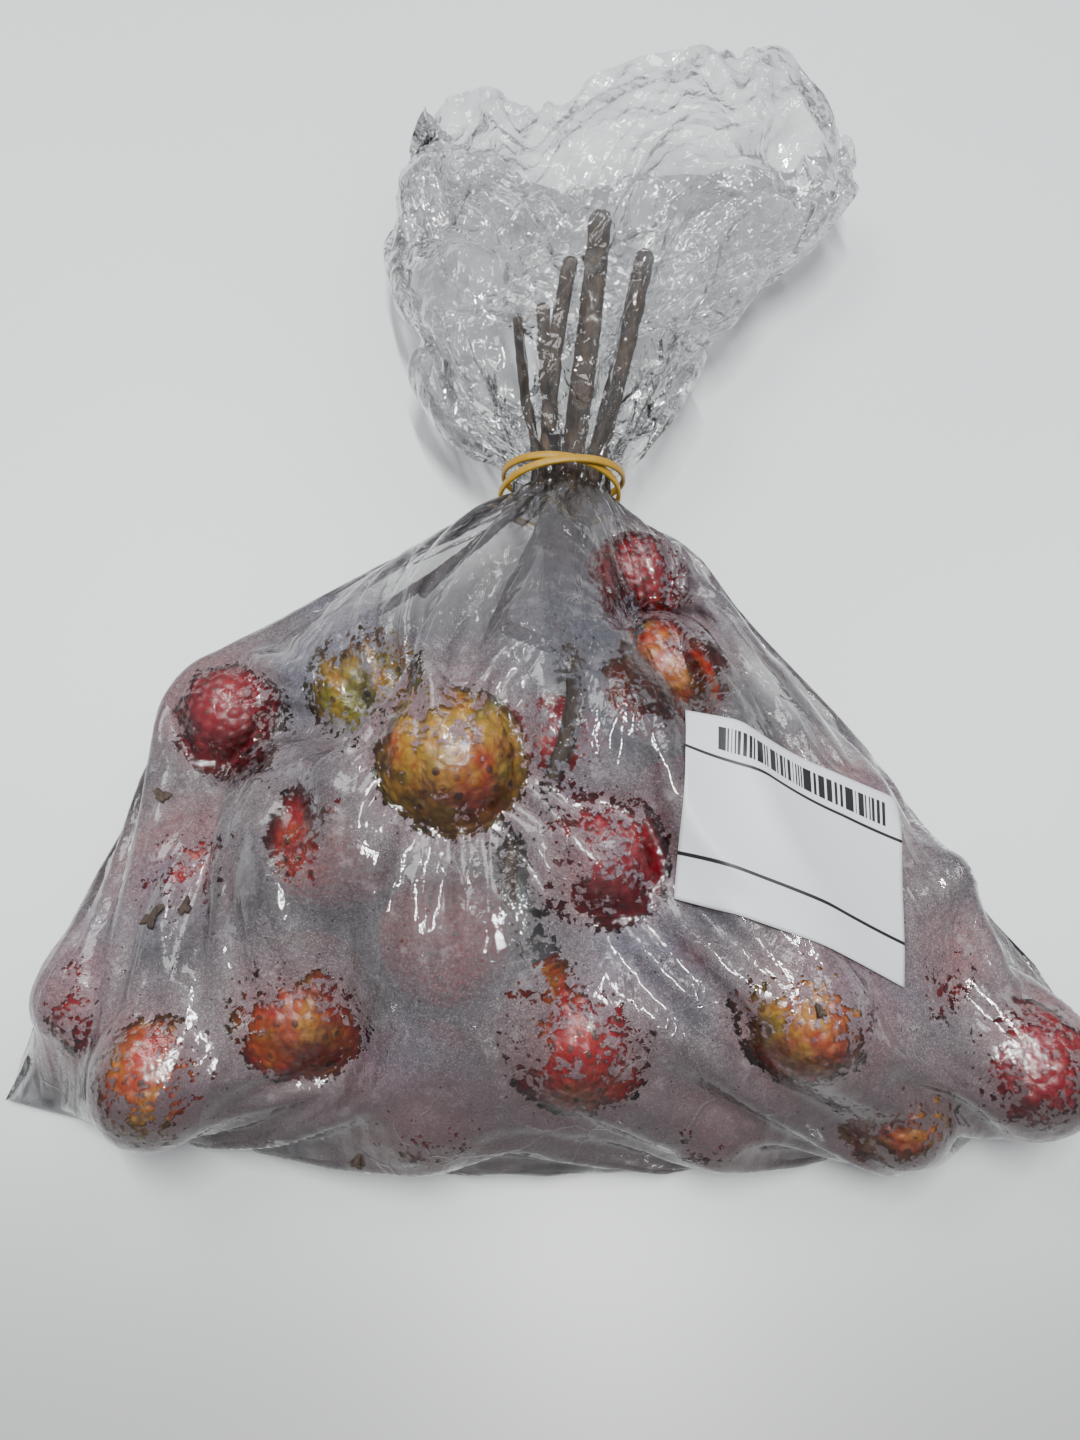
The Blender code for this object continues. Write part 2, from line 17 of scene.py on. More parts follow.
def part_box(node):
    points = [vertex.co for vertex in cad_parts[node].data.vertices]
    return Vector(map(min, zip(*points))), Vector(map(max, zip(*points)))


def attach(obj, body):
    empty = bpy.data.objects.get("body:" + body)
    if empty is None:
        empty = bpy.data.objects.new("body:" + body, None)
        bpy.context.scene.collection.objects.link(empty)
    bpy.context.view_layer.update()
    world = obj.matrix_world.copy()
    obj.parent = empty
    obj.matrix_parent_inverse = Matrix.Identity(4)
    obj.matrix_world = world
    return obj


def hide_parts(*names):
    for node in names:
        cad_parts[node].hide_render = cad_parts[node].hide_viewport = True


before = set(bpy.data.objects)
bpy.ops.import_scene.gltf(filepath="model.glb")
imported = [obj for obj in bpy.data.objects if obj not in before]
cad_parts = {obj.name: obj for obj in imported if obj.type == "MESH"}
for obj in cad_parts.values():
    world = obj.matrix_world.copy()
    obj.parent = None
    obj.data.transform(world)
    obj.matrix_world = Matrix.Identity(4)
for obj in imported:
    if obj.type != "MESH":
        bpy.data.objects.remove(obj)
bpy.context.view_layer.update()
MM = 0.001
SHIFT = np.array((-2.25, -69.55, 0.0))  # from the drawing's own middle to the part's

# %% [markdown]
# The camera stands at the sealed end and looks down steeply, as one looks at a bag on a counter.
# A short lens close by gives the strong perspective of such a look.

# %% Camera
LOOK_DOWN = math.radians(65)
DISTANCE = 0.330
aim = Vector(SHIFT * MM)
eye = bpy.data.cameras.new("camera")
eye.lens, eye.sensor_width = 27.03, 36.0
eye.clip_start, eye.clip_end = 0.01, 20.0
camera = bpy.data.objects.new("camera", eye)
bpy.context.scene.collection.objects.link(camera)
camera.location = aim + Vector((0, -math.cos(LOOK_DOWN), math.sin(LOOK_DOWN))) * DISTANCE
camera.rotation_euler = (math.pi / 2 - LOOK_DOWN, 0, 0)
bpy.context.scene.camera = camera
print("camera at mm", [round(x / MM, 1) for x in camera.location])

# %% [markdown]
# Materials are written as arithmetic. A Signal is one output of a node; adding or multiplying
# signals adds the Math node for it, so a mask reads like a formula. A Finish is one material.

# %% Signals and finishes
class Signal:
    """One node output that takes part in arithmetic."""

    def __init__(self, finish, socket):
        self.finish, self.socket = finish, socket

    def to(self, operation, *others):
        terms = dict(enumerate((self, *others)))
        return self.finish.node("ShaderNodeMath", {"operation": operation}, terms)

    def __add__(self, other):
        return self.to("ADD", other)

    def __mul__(self, other):
        return self.to("MULTIPLY", other)

    def __sub__(self, other):
        return self.to("SUBTRACT", other)

    def __rsub__(self, other):
        return (self * -1) + other

    __radd__, __rmul__ = __add__, __mul__

    def rise(self, low, high):
        """0 below low, 1 above high, with a soft step between."""
        limits = {"Value": self, 1: low, 2: high, 3: 0.0, 4: 1.0}
        return self.finish.node("ShaderNodeMapRange", {"interpolation_type": "SMOOTHSTEP"}, limits)


class Finish:
    """A material whose nodes are added by calls."""

    def __init__(self, name):
        self.material = bpy.data.materials.new(name)
        self.material.use_nodes = True
        self.tree = self.material.node_tree
        self.tree.nodes.clear()

    def node(self, kind, settings=None, inputs=None, out=0):
        made = self.tree.nodes.new(kind)
        for key, value in (settings or {}).items():
            if key == "stops":
                ramp = made.color_ramp.elements
                while len(ramp) < len(value):
                    ramp.new(0.5)
                for element, (position, tone) in zip(ramp, value):
                    element.position, element.color = position, tone
            else:
                setattr(made, key, value)
        for key, value in (inputs or {}).items():
            if isinstance(value, Signal):
                self.tree.links.new(value.socket, made.inputs[key])
            else:
                made.inputs[key].default_value = value
        return Signal(self, made.outputs[out])

    def place(self):
        return self.node("ShaderNodeTexCoord", out="Object")

    def attribute(self, name):
        return self.node("ShaderNodeAttribute", {"attribute_name": name}, out="Fac")

    def noise(self, scale, detail=3.0, rough=0.55, at=None):
        return self.node(
            "ShaderNodeTexNoise", None,
            {"Vector": at or self.place(), "Scale": scale, "Detail": detail, "Roughness": rough},
        )

    def cells(self, scale, at=None, **settings):
        """Voronoi cells: the distance from their middles, or what the settings ask for."""
        return self.node("ShaderNodeTexVoronoi", settings, {"Vector": at or self.place(), "Scale": scale})

    def mapped(self, at, scale=(1.0, 1.0, 1.0), turn=(0.0, 0.0, 0.0)):
        """Places stretched and turned before a pattern reads them."""
        return self.node("ShaderNodeMapping", None, {"Vector": at, "Scale": scale, "Rotation": turn})

    def blend(self, share, first, second):
        return self.node("ShaderNodeMix", {"data_type": "RGBA"}, {0: share, 6: first, 7: second}, 2)

    def bump(self, height, strength, distance):
        settings = {"Height": height, "Strength": strength, "Distance": distance}
        return self.node("ShaderNodeBump", None, settings)

    def over(self, share, first, second):
        return self.node("ShaderNodeMixShader", None, {0: share, 1: first, 2: second})

    def shade(self, **inputs):
        named = {key.replace("_", " "): value for key, value in inputs.items()}
        return self.node("ShaderNodeBsdfPrincipled", None, named)

    def close(self, shader):
        out = self.tree.nodes.new("ShaderNodeOutputMaterial")
        self.tree.links.new(shader.socket, out.inputs["Surface"])


def colour(r, g, b):
    """An everyday 0-255 colour as the linear values that a shader takes."""
    return (*(((c / 255) / 12.92 if c <= 10 else ((c / 255 + 0.055) / 1.055) ** 2.4) for c in (r, g, b)), 1.0)


print("materials are built from formulas")

# %% [markdown]
# The fruit. A lychee is a blunt heart with broad shoulders at its stalk; its leathery skin is
# cobbled, one low pyramid to each segment. A ball of evenly spread points is wrapped in a hull,
# each face is poked, and the first edges are turned into valleys, so every point becomes the tip
# of its own cobble. A subdivision rounds them. Tips and valleys keep a number for the colours.

# %% Where each fruit lies
# Middle (x, y, z), width, the branch point its stalk comes from, and its ripeness, 0 green to 1 red.
FRUITS = {
    "fruit_01": ((-87, -10, 20), 34, (-67, 5.5, 25.5), 0.95),
    "fruit_02": ((-49.5, 0, 22), 36.5, (-56, 22, 17.5), 0.18),
    "fruit_03": ((-22, -34, 48.5), 40.5, (-22, -22, 12), 0.25),
    "fruit_04": ((28.5, 35, 20), 34, (4.5, 33, 22), 0.95),
    "fruit_05": ((35, -1, 27.5), 37.5, (6.5, 5.5, 26.5), 0.62),
    "fruit_06": ((39.5, -38.5, 20), 34, (21, -29.5, 12), 0.9),
    "fruit_07": ((15.5, -57, 39.5), 36.5, (22, -48.5, 13), 1.0),
    "fruit_08": ((-54, -47.5, 26.5), 37.5, (-73.5, -37.5, 34), 0.75),
    "fruit_09": ((-91.5, -56, 20), 35, (-75, -48.5, 34), 0.8),
    "fruit_10": ((-59.5, -90, 22), 37.5, (-77, -79, 35), 0.5),
    "fruit_11": ((-91.5, -108, 27.5), 31, (-79, -87, 35), 0.5),
    "fruit_12": ((-114.5, -87, 17.5), 28.5, (-78, -81.5, 35), 0.8),
    "fruit_13": ((9, -97, 27.5), 39.5, (-5.5, -81.5, 40.5), 0.66),
    "fruit_14": ((62.5, -93.5, 37.5), 35, (60.5, -67, 11), 0.42),
    "fruit_15": ((120, -104.5, 20), 34, (100, -98, 9), 1.0),
    "fruit_16": ((94.5, -78, 20), 35, (75, -81.5, 9), 0.85),
    "fruit_17": ((86, -112, 17.5), 31, (77, -94.5, 9), 0.45),
    "fruit_18": ((-24, -72.5, 22), 36.5, (-25.5, -49.5, 11), 0.7),
    "fruit_19": ((-27.5, -110, 20), 34, (-42, -93.5, 10), 0.9),
    "fruit_20": ((38.5, -75, 18.5), 32, (23, -68, 12), 0.8),
    "fruit_21": ((75, -46, 29.5), 36.5, (58.5, -33, 10), 0.8),
    "fruit_22": ((2, -18.5, 20), 33, (-21, -13, 12), 1.0),
    "fruit_23": ((40.5, -112, 17.5), 29.5, (25.5, -90, 10), 0.9),
}
MIDDLES = {name: np.array(row[0]) + SHIFT for name, row in FRUITS.items()}
TURNS = {}
for name, (middle, _, branch, _) in FRUITS.items():
    TURNS[name] = Vector((0, 0, 1)).rotation_difference(Vector(branch) - Vector(middle))
off = [(Vector(MIDDLES[n] * MM) - sum(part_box(n), Vector()) / 2).length / MM for n in FRUITS]
print("fruit", len(FRUITS), "middles are within", round(max(off), 2), "mm of the solids' boxes")

# %% Cobbled fruit
COBBLES = 260
TIP_RISE = (0.5, 1.1)  # mm from the mean skin, for low cobbles and for high ones
VALLEY_RISE = -0.6
GOLDEN_TURN = 2.4  # radians from one fruit to the next, so that no two show the same side


def heart(directions, width):
    """The mean skin's distance from the middle, in millimetres, for rows of unit directions."""
    t = directions[:, 2]
    half = width / 2
    about = (1.0 + 0.06 * t - 0.05 * t * t) * half
    tall = (1.03 - 0.09 * np.exp(-((1 - t).clip(0) / 0.10) ** 1.2) - 0.02 * t) * half
    return np.sqrt((directions[:, 0] * about) ** 2 + (directions[:, 1] * about * 0.97) ** 2 + (t * tall) ** 2)


def spread(count, seed):
    """Points spread evenly over a ball, each shifted a little."""
    random = np.random.default_rng(seed)
    i = np.arange(count)
    z = 1 - (2 * i + 1) / count
    turn = i * math.pi * (3 - math.sqrt(5))
    r = np.sqrt(1 - z * z)
    points = np.stack([r * np.cos(turn), r * np.sin(turn), z], axis=1)
    points += random.normal(0, 0.25 / math.sqrt(count), points.shape)
    return points / np.linalg.norm(points, axis=1, keepdims=True)


def set_attribute(mesh, name, values):
    layer = mesh.attributes.new(name, "FLOAT", "POINT")
    layer.data.foreach_set("value", np.asarray(values, np.float32))


def piece(bm, name, smooth=True):
    mesh = bpy.data.meshes.new(name)
    bm.to_mesh(mesh)
    bm.free()
    mesh.polygons.foreach_set("use_smooth", [smooth] * len(mesh.polygons))
    made = bpy.data.objects.new(name, mesh)
    bpy.context.scene.collection.objects.link(made)
    return made


def fruit(name, seed):
    bm = bmesh.new()
    tips = [bm.verts.new(p) for p in spread(COBBLES, seed)]
    bmesh.ops.convex_hull(bm, input=tips)
    between, tip_count = list(bm.edges), len(bm.verts)
    bmesh.ops.poke(bm, faces=bm.faces[:])
    bmesh.ops.rotate_edges(bm, edges=between, use_ccw=False)
    bmesh.ops.recalc_face_normals(bm, faces=bm.faces[:])
    bm.verts.ensure_lookup_table()
    directions = np.array([v.co.normalized() for v in bm.verts])
    tip = np.arange(len(directions)) < tip_count
    random = np.random.default_rng(seed + 50)
    rise = np.where(tip, random.uniform(*TIP_RISE, len(tip)), VALLEY_RISE)
    skin = directions * (heart(directions, FRUITS[name][1]) + rise)[:, None]
    turn = TURNS[name] @ Quaternion((0, 0, 1), seed * GOLDEN_TURN)
    for vert, point in zip(bm.verts, skin):
        vert.co = (turn @ Vector(point) + Vector(MIDDLES[name])) * MM
    made = piece(bm, "lychee_" + name[-2:])
    set_attribute(made.data, "tip", tip)
    set_attribute(made.data, "shoulder", directions[:, 2])
    set_attribute(made.data, "ripe", np.full(len(tip), FRUITS[name][3]))
    rounder = made.modifiers.new("rounded", "SUBSURF")
    rounder.levels = rounder.render_levels = 1
    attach(made, "root")
    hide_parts(name)
    return made


lychees = [fruit(name, i + 1) for i, name in enumerate(FRUITS)]
print("made", len(lychees), "fruit of", COBBLES, "cobbles")

# %% [markdown]
# The skin runs from green-yellow through orange to crimson, in soft clouds that differ from fruit
# to fruit, with each cobble's tip drier and browner than the valley round it, and painted shade
# darkens the valleys to deep red.

# %% Skin finish
skin = Finish("lychee_skin")
tip, ripe = skin.attribute("tip"), skin.attribute("ripe")
cloud = skin.noise(55.0, 3.0) + skin.noise(190.0, 2.0) * 0.5
shade_of = ripe + (cloud - 0.75) * 1.3
hue = skin.node("ShaderNodeValToRGB", {"stops": [
    (0.0, colour(112, 112, 26)), (0.28, colour(162, 118, 32)), (0.5, colour(146, 66, 22)),
    (0.72, colour(148, 20, 20)), (1.0, colour(120, 6, 26))]}, {0: shade_of})
speck = skin.noise(800.0, 2.0).rise(0.52, 0.72)
ragged_tip = tip + 0.35 * (skin.noise(420.0, 3.0) - 0.5)
brown = ragged_tip.rise(0.5, 0.66) * skin.noise(160.0, 2.0).rise(0.35, 0.7)
brown = (brown + speck * 0.4).rise(0.05, 1.1)
hue = skin.blend(brown, hue, colour(66, 28, 12))
# Painted shade: the valleys between the cobbles are darkened to deep red.
hue = skin.blend(tip.rise(0.3, 0.12) * 0.3, hue, colour(84, 14, 12))
grain = skin.noise(1500.0, 3.0) * 0.5 + tip * 0.6
skin.close(skin.shade(
    Base_Color=hue, Roughness=0.38 + 0.25 * brown, Normal=skin.bump(grain, 0.5, 0.0004),
    Subsurface_Weight=0.08, Subsurface_Radius=(0.003, 0.001, 0.0006), Subsurface_Scale=1.0))
for made in lychees:
    made.data.materials.append(skin.material)
print("skin has", len(skin.tree.nodes), "nodes")

# %% [markdown]
# The stalks are cut woody twigs, thicker at their nodes. They could be drawn as curves, but each
# is grown from a merged copy of its solid, which keeps it where the solid is: a voxel remesh gives
# an even skin, smoothing rounds its flat sides, and small waves along the normal give it knots.

# %% Stalks
WOODY = [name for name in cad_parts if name.startswith(("stem_", "twig"))]
STALK_VOXEL = 0.7


def stalk(name, seed):
    bm = bmesh.new()
    bm.from_mesh(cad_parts[name].data)
    bmesh.ops.remove_doubles(bm, verts=bm.verts[:], dist=0.02 * MM)
    made = piece(bm, "stalk_" + name.replace("stem_", ""))
    even = made.modifiers.new("even", "REMESH")
    even.mode, even.voxel_size = "VOXEL", STALK_VOXEL * MM
    bpy.context.view_layer.update()
    whole = bpy.data.meshes.new_from_object(made.evaluated_get(bpy.context.evaluated_depsgraph_get()))
    made.modifiers.clear()
    made.data = whole
    bm = bmesh.new()
    bm.from_mesh(whole)
    for _ in range(2):
        bmesh.ops.smooth_vert(
            bm, verts=bm.verts[:], factor=0.5, use_axis_x=True, use_axis_y=True, use_axis_z=True)
    bm.normal_update()
    for vert in bm.verts:
        p = vert.co / MM
        knot = math.sin(p.x * 0.31 + seed) * math.sin(p.y * 0.42) * math.sin(p.z * 0.37 + 1)
        ridge = math.sin(p.x * 3.1 + math.sin(p.y * 0.6) * 2) * math.sin(p.z * 2.7 + seed)
        vert.co += vert.normal * (0.16 + 0.28 * knot + 0.12 * ridge) * MM
    bm.to_mesh(whole)
    bm.free()
    whole.polygons.foreach_set("use_smooth", [True] * len(whole.polygons))
    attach(made, "root")
    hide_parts(name)
    return made


stalks = [stalk(name, seed) for seed, name in enumerate(WOODY)]
print("made", len(stalks), "stalks,", sum(len(s.data.polygons) for s in stalks), "faces")

# %% [markdown]
# Bark is dull and dark, with a grain that runs along the stalk. The stalks lie nearly along y, so a
# noise stretched to four times its length along y draws that grain.

# %% Bark finish
bark = Finish("bark")
along_grain = bark.mapped(bark.place(), (1.0, 0.25, 1.0))
grain = bark.noise(900.0, 4.0, 0.6, along_grain)
patches = bark.noise(90.0, 3.0)
wood = bark.node("ShaderNodeValToRGB", {"stops": [
    (0.25, colour(20, 14, 10)), (0.5, colour(48, 36, 26)), (0.75, colour(84, 66, 48))]},
    {0: grain * 0.7 + patches * 0.35})
bark.close(bark.shade(Base_Color=wood, Roughness=0.62 + 0.2 * grain, Normal=bark.bump(grain, 0.8, 0.0006)))
for made in stalks:
    made.data.materials.append(bark.material)
print("bark has", len(bark.tree.nodes), "nodes")

# %% [markdown]
# The bag is one tube of thin film, sealed flat at one end and gathered at the neck. A cloth
# simulation could drape it, but a grid of our own settles in seconds and comes out the same each
# time. Its rows run round, from the seal to the neck, and its columns run along. The first shape is
# drawn between the two side folds, the top and the floor.

# %% The bag's measures
FLOOR_IN = 0.5  # height of the film that lies on the table
COARSE_TOP, COARSE_UNDER, COARSE_ROWS = 36, 16, 30
FINE = 5  # fine columns and rows for each coarse one
NECK = np.array((6.6, 67.0, 26.5))
NECK_HALF = np.array((14.5, 10.5))
PLEAT_DEPTH = 0.8  # of the folds under the band
LEFT_SIDE = [
    (-139.5, -110, 1.5), (-133, -97, 5.5), (-131, -83.5, 9), (-120, -68, 10), (-115.5, -46, 10),
    (-112, -15.5, 11), (-104.5, 1, 11), (-88, 15.5, 11), (-61.5, 33, 14.5), (-29.5, 48.5, 20),
    (-7.5, 62.5, 26.5),
]
RIGHT_SIDE = [
    (144, -109, 1.5), (141, -101, 4.5), (138.5, -90, 9), (133, -77, 9), (123, -64, 9), (116.5, -55, 9),
    (108, -36.5, 10), (92.5, -13, 10), (68, 9, 12), (46, 34, 17.5), (21, 62.5, 26.5),
]
TOP_LINE = [
    (0, -128, 2.4), (0, -132, 15), (0, -132, 31), (0, -123, 46), (0, -94, 66), (0, -33, 79), (2, 11, 66),
    (6.6, 63, 37),
]
UNDER_LINE = [(0, -128, FLOOR_IN), (0, 15, FLOOR_IN), (6.6, 63, 15.5)]
print("grid of", COARSE_ROWS * FINE, "by", (COARSE_TOP + COARSE_UNDER) * FINE, "once it is fine")


# %% The first shape
def even_points(line, count):
    """Points at even steps of arc length along a polyline."""
    line = np.array(line, float)
    lengths = np.concatenate([[0], np.cumsum(np.linalg.norm(np.diff(line, axis=0), axis=1))])
    wanted = np.linspace(0, lengths[-1], count)
    return np.stack([np.interp(wanted, lengths, line[:, k]) for k in range(3)], axis=1)


def neck_angles(fine):
    top, total = COARSE_TOP * fine, (COARSE_TOP + COARSE_UNDER) * fine
    return math.pi / 2 + 2 * math.pi * (np.arange(total) - top / 2) / total


def pleats(fine):
    """-1 to 1 round the neck: a fold for every four coarse columns."""
    return -np.cos(np.arange((COARSE_TOP + COARSE_UNDER) * fine) / fine * math.pi / 2)


def neck_ring(fine, shift):
    """One row of the film round the neck, shifted along it."""
    a, out = neck_angles(fine), pleats(fine) * PLEAT_DEPTH
    return np.stack([
        NECK[0] + (NECK_HALF[0] + out) * np.cos(a), np.full(len(a), NECK[1] + shift),
        NECK[2] + (NECK_HALF[1] + out) * np.sin(a)], axis=1)


def first_shape():
    rows, top, under = COARSE_ROWS + 1, COARSE_TOP, COARSE_UNDER
    lines = (LEFT_SIDE, RIGHT_SIDE, TOP_LINE, UNDER_LINE)
    left, right, high, low = (even_points(line, rows) for line in lines)
    a = np.concatenate([np.arange(top) / top, 1 + np.arange(under) / under]) * math.pi
    across = (0.5 + 0.5 * np.cos(a))[None, :, None]
    grid = left[:, None] * (1 - across) + right[:, None] * across
    middle = np.where((np.sin(a) >= 0)[None, :, None], high[:, None], low[:, None])
    lift = np.abs(np.sin(a))[None, :] ** np.where(np.arange(rows) == 0, 2.0, 0.7)[:, None]
    grid[..., 1:] = grid[..., 1:] * (1 - lift[..., None]) + middle[..., 1:] * lift[..., None]
    grid[-1] = neck_ring(1, -4.4)
    return grid


shape = first_shape()
print("first shape", shape.shape, "rows and columns of points")

# %% [markdown]
# What the film rests on: the fruit, whose skin's distance is known in every direction, and the
# high stalks, as points all over their solids. A film point inside a fruit, or too near to a point
# of a stalk, is pushed out. This is quicker than asking a mesh, and every step asks it for tens of
# thousands of points.

# %% Points on the stalks
STALK_GRID = 1.5
SPLITS = 6  # steps along each side of a solid's triangle
HIGH_STALK = 20
BAND_AT = NECK[1] + 2
NEAR_BAND = 14  # the stalks within this of the band's middle stay out: the film is gathered there


def stalk_points():
    """Points all over the high stalks' solids, kept once for each step of a grid."""
    found = []
    for name in WOODY:
        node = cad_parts[name]
        points = np.array([v.co for v in node.data.vertices]) / MM - SHIFT
        corners = points[np.array([p.vertices[:3] for p in node.data.polygons])]
        for i in range(SPLITS + 1):
            for j in range(SPLITS + 1 - i):
                k = SPLITS - i - j
                found.append((corners[:, 0] * i + corners[:, 1] * j + corners[:, 2] * k) / SPLITS)
    found = np.unique(np.round(np.concatenate(found) / STALK_GRID), axis=0) * STALK_GRID
    return found[(found[:, 2] > HIGH_STALK) & (np.abs(found[:, 1] - BAND_AT) > NEAR_BAND)]


def tree_of(points):
    tree = KDTree(len(points))
    for i, point in enumerate(points):
        tree.insert(point, i)
    tree.balance()
    return tree


TWIGS = stalk_points()
twig_tree = tree_of(TWIGS)
print("stalk points", len(TWIGS))

# %% Pushing the film out of what it lies on
SKIN_GAP = 1.0  # film's distance from a fruit's mean skin, just over its cobbles
STALK_GAP = 2.0
FRUIT_REACH = 16.0  # a fruit further away than this isn't asked
CLING_REACH = 9


class Support:
    """The fruit near each film point, looked up once in a while so that each push is quick."""

    def __init__(self, points):
        flat = points.reshape(-1, 3)
        self.near = []
        for name, (middle, width, _, _) in FRUITS.items():
            distance = np.linalg.norm(flat - middle, axis=1)
            index = np.flatnonzero(distance < width / 2 + FRUIT_REACH)
            turn = np.array(TURNS[name].to_matrix())
            self.near.append((index, np.array(middle), width, turn))
        high = np.flatnonzero((flat[:, 2] > 15) & (np.abs(flat[:, 1] - BAND_AT) > 8))
        self.twig = TWIGS[[twig_tree.find(flat[i])[1] for i in high]] if len(high) else TWIGS[:0]
        self.high = high

    def gaps(self, points):
        """Least distance of each point from a fruit's mean skin."""
        flat = points.reshape(-1, 3)
        least = np.full(len(flat), FRUIT_REACH)
        for index, middle, width, turn in self.near:
            away = flat[index] - middle
            length = np.linalg.norm(away, axis=1)
            least[index] = np.minimum(least[index], length - heart(away @ turn / length[:, None], width))
        return least.reshape(points.shape[:-1])

    def push(self, points, cling=None):
        """Moves points off the fruit and stalks, and draws them in by their cling where they lie close."""
        flat = points.reshape(-1, 3)
        for index, middle, width, turn in self.near:
            away = flat[index] - middle
            length = np.linalg.norm(away, axis=1)
            wanted = heart(away @ turn / length[:, None], width) + SKIN_GAP
            gap = length - wanted
            shift = np.maximum(-gap, 0)
            if cling is not None:
                shift -= np.where((gap > 0) & (gap < CLING_REACH), cling[index] * gap, 0.0)
            flat[index] += away * (shift / length)[:, None]
        away = flat[self.high] - self.twig
        length = np.linalg.norm(away, axis=1)
        shift = np.maximum(0, STALK_GAP - length)
        away[:, 2] += 0.3 * length
        flat[self.high] += away * (shift / np.maximum(length, 1e-3))[:, None]
        np.maximum(flat[:, 2], FLOOR_IN, out=flat[:, 2])
        return flat.reshape(points.shape)


print("the film keeps", SKIN_GAP, "mm from the fruit and", STALK_GAP, "mm from the stalks")


# %% Drawing the film tight
def outward(grid):
    """The sheet's unit normals, out of the bag."""
    across = np.roll(grid, -1, axis=1) - np.roll(grid, 1, axis=1)
    normal = np.cross(np.gradient(grid, axis=0), across)
    return normal / np.maximum(np.linalg.norm(normal, axis=-1, keepdims=True), 1e-6)


def drawn_tight(grid, rounds, top, lift):
    """Smooths the sheet over its support. The lift is the little air in the bag."""
    start = Support(grid).push(grid.copy())
    for turn in range(rounds):
        if turn % 20 == 0:
            support = Support(grid)
        around = (np.roll(grid, 1, axis=1) + np.roll(grid, -1, axis=1)) / 2
        length = grid.copy()
        length[1:-1] = (grid[:-2] + grid[2:]) / 2
        grid = 0.4 * grid + 0.3 * around + 0.3 * length
        grid[:, 1:top] += lift * outward(grid)[:, 1:top]
        grid = support.push(grid)
        under = (np.arange(grid.shape[1]) > top)[None, :] & (grid[..., 1] < 13)
        grid[..., 2] = np.where(under, FLOOR_IN, grid[..., 2])
        grid[0], grid[-1] = start[0], start[-1]
        grid[:-3, [0, top]] = start[:-3, [0, top]]
    return grid


def finer(grid, times):
    """The same sheet with more rows and columns, the last column joining the first."""
    rows = np.linspace(0, len(grid) - 1, (len(grid) - 1) * times + 1)
    r = np.minimum(rows.astype(int), len(grid) - 2)
    t = (rows - r)[:, None, None]
    tall = grid[r] * (1 - t) + grid[r + 1] * t
    count = grid.shape[1]
    columns = np.arange(count * times) / times
    c = columns.astype(int)
    s = (columns - c)[None, :, None]
    return tall[:, c % count] * (1 - s) + tall[:, (c + 1) % count] * s


shape = drawn_tight(shape, 160, COARSE_TOP, 0.09)
shape = drawn_tight(finer(shape, FINE), 60, COARSE_TOP * FINE, 0.002)
print("film drawn tight,", shape.shape[0] * shape.shape[1], "points")

# %% [markdown]
# Where the film lies wet on a fruit it is clear, and elsewhere fog hangs inside it. Nearness to the
# fruit alone would clear too much, so each patch is an oval of its own, set off from its fruit's
# middle to the right and up the bag. It keeps to the film that has the fruit straight behind it
# from the camera's first place. The number is kept on the film, so it is the same from all sides.

# %% Wet patches
DRY = -2.0
# Fruit, offset right and up, half width and half height, all in mm, and the oval's turn in degrees.
WET = [
    ("fruit_01", 1.6, 1.1, 14.2, 18.6, 15), ("fruit_02", -3.8, 0.4, 15.2, 9.7, 20),
    ("fruit_03", -6.0, -4.7, 14.3, 16.7, 0), ("fruit_03", 12.0, -0.9, 13.5, 18.8, 0),
    ("fruit_03", 17.2, 14.5, 8.3, 4.3, -20), ("fruit_04", -3.5, 1.8, 16.5, 11.5, -10),
    ("fruit_05", -7.5, 1.0, 21.0, 15.5, -15), ("fruit_05", 9.6, -8.1, 7.5, 10.1, 0),
    ("fruit_05", -21.3, -4.8, 7.0, 12.1, 0), ("fruit_07", 12.2, 2.7, 8.1, 15.4, 5),
    ("fruit_07", 2.4, -10.4, 11.5, 9.0, 0), ("fruit_07", 18.0, -15.4, 4.7, 4.3, 0),
    ("fruit_07", -2.9, 16.6, 4.3, 5.7, 0), ("fruit_08", -7.5, 6.4, 8.5, 12.3, 20),
    ("fruit_09", 4.6, 4.7, 3.6, 2.5, 0), ("fruit_10", 2.3, -8.0, 15.5, 17.5, 10),
    ("fruit_11", -0.7, 8.0, 7.5, 13.2, 10), ("fruit_12", -0.4, -9.0, 3.9, 8.4, -10),
    ("fruit_13", 0.3, -9.5, 20.0, 10.5, 5), ("fruit_13", -0.4, 1.7, 7.1, 9.8, 25),
    ("fruit_14", -3.7, -5.6, 14.9, 11.7, -10), ("fruit_15", -1.5, 5.5, 7.1, 15.1, -22),
    ("fruit_17", -7.2, -3.9, 13.2, 5.7, 10), ("fruit_19", 6.3, -13.6, 9.3, 3.3, 0),
    ("fruit_23", -14.0, -12.7, 10.9, 2.1, 0), ("fruit_16", 5.8, -3.4, 2.5, 2.0, 0),
]


def oval(across, along, wide, high, turn):
    """1 in the middle of an oval, 0 on its edge and less outside."""
    c, s = math.cos(math.radians(turn)), math.sin(math.radians(turn))
    return 1 - np.sqrt(((across * c + along * s) / wide) ** 2 + ((along * c - across * s) / high) ** 2)


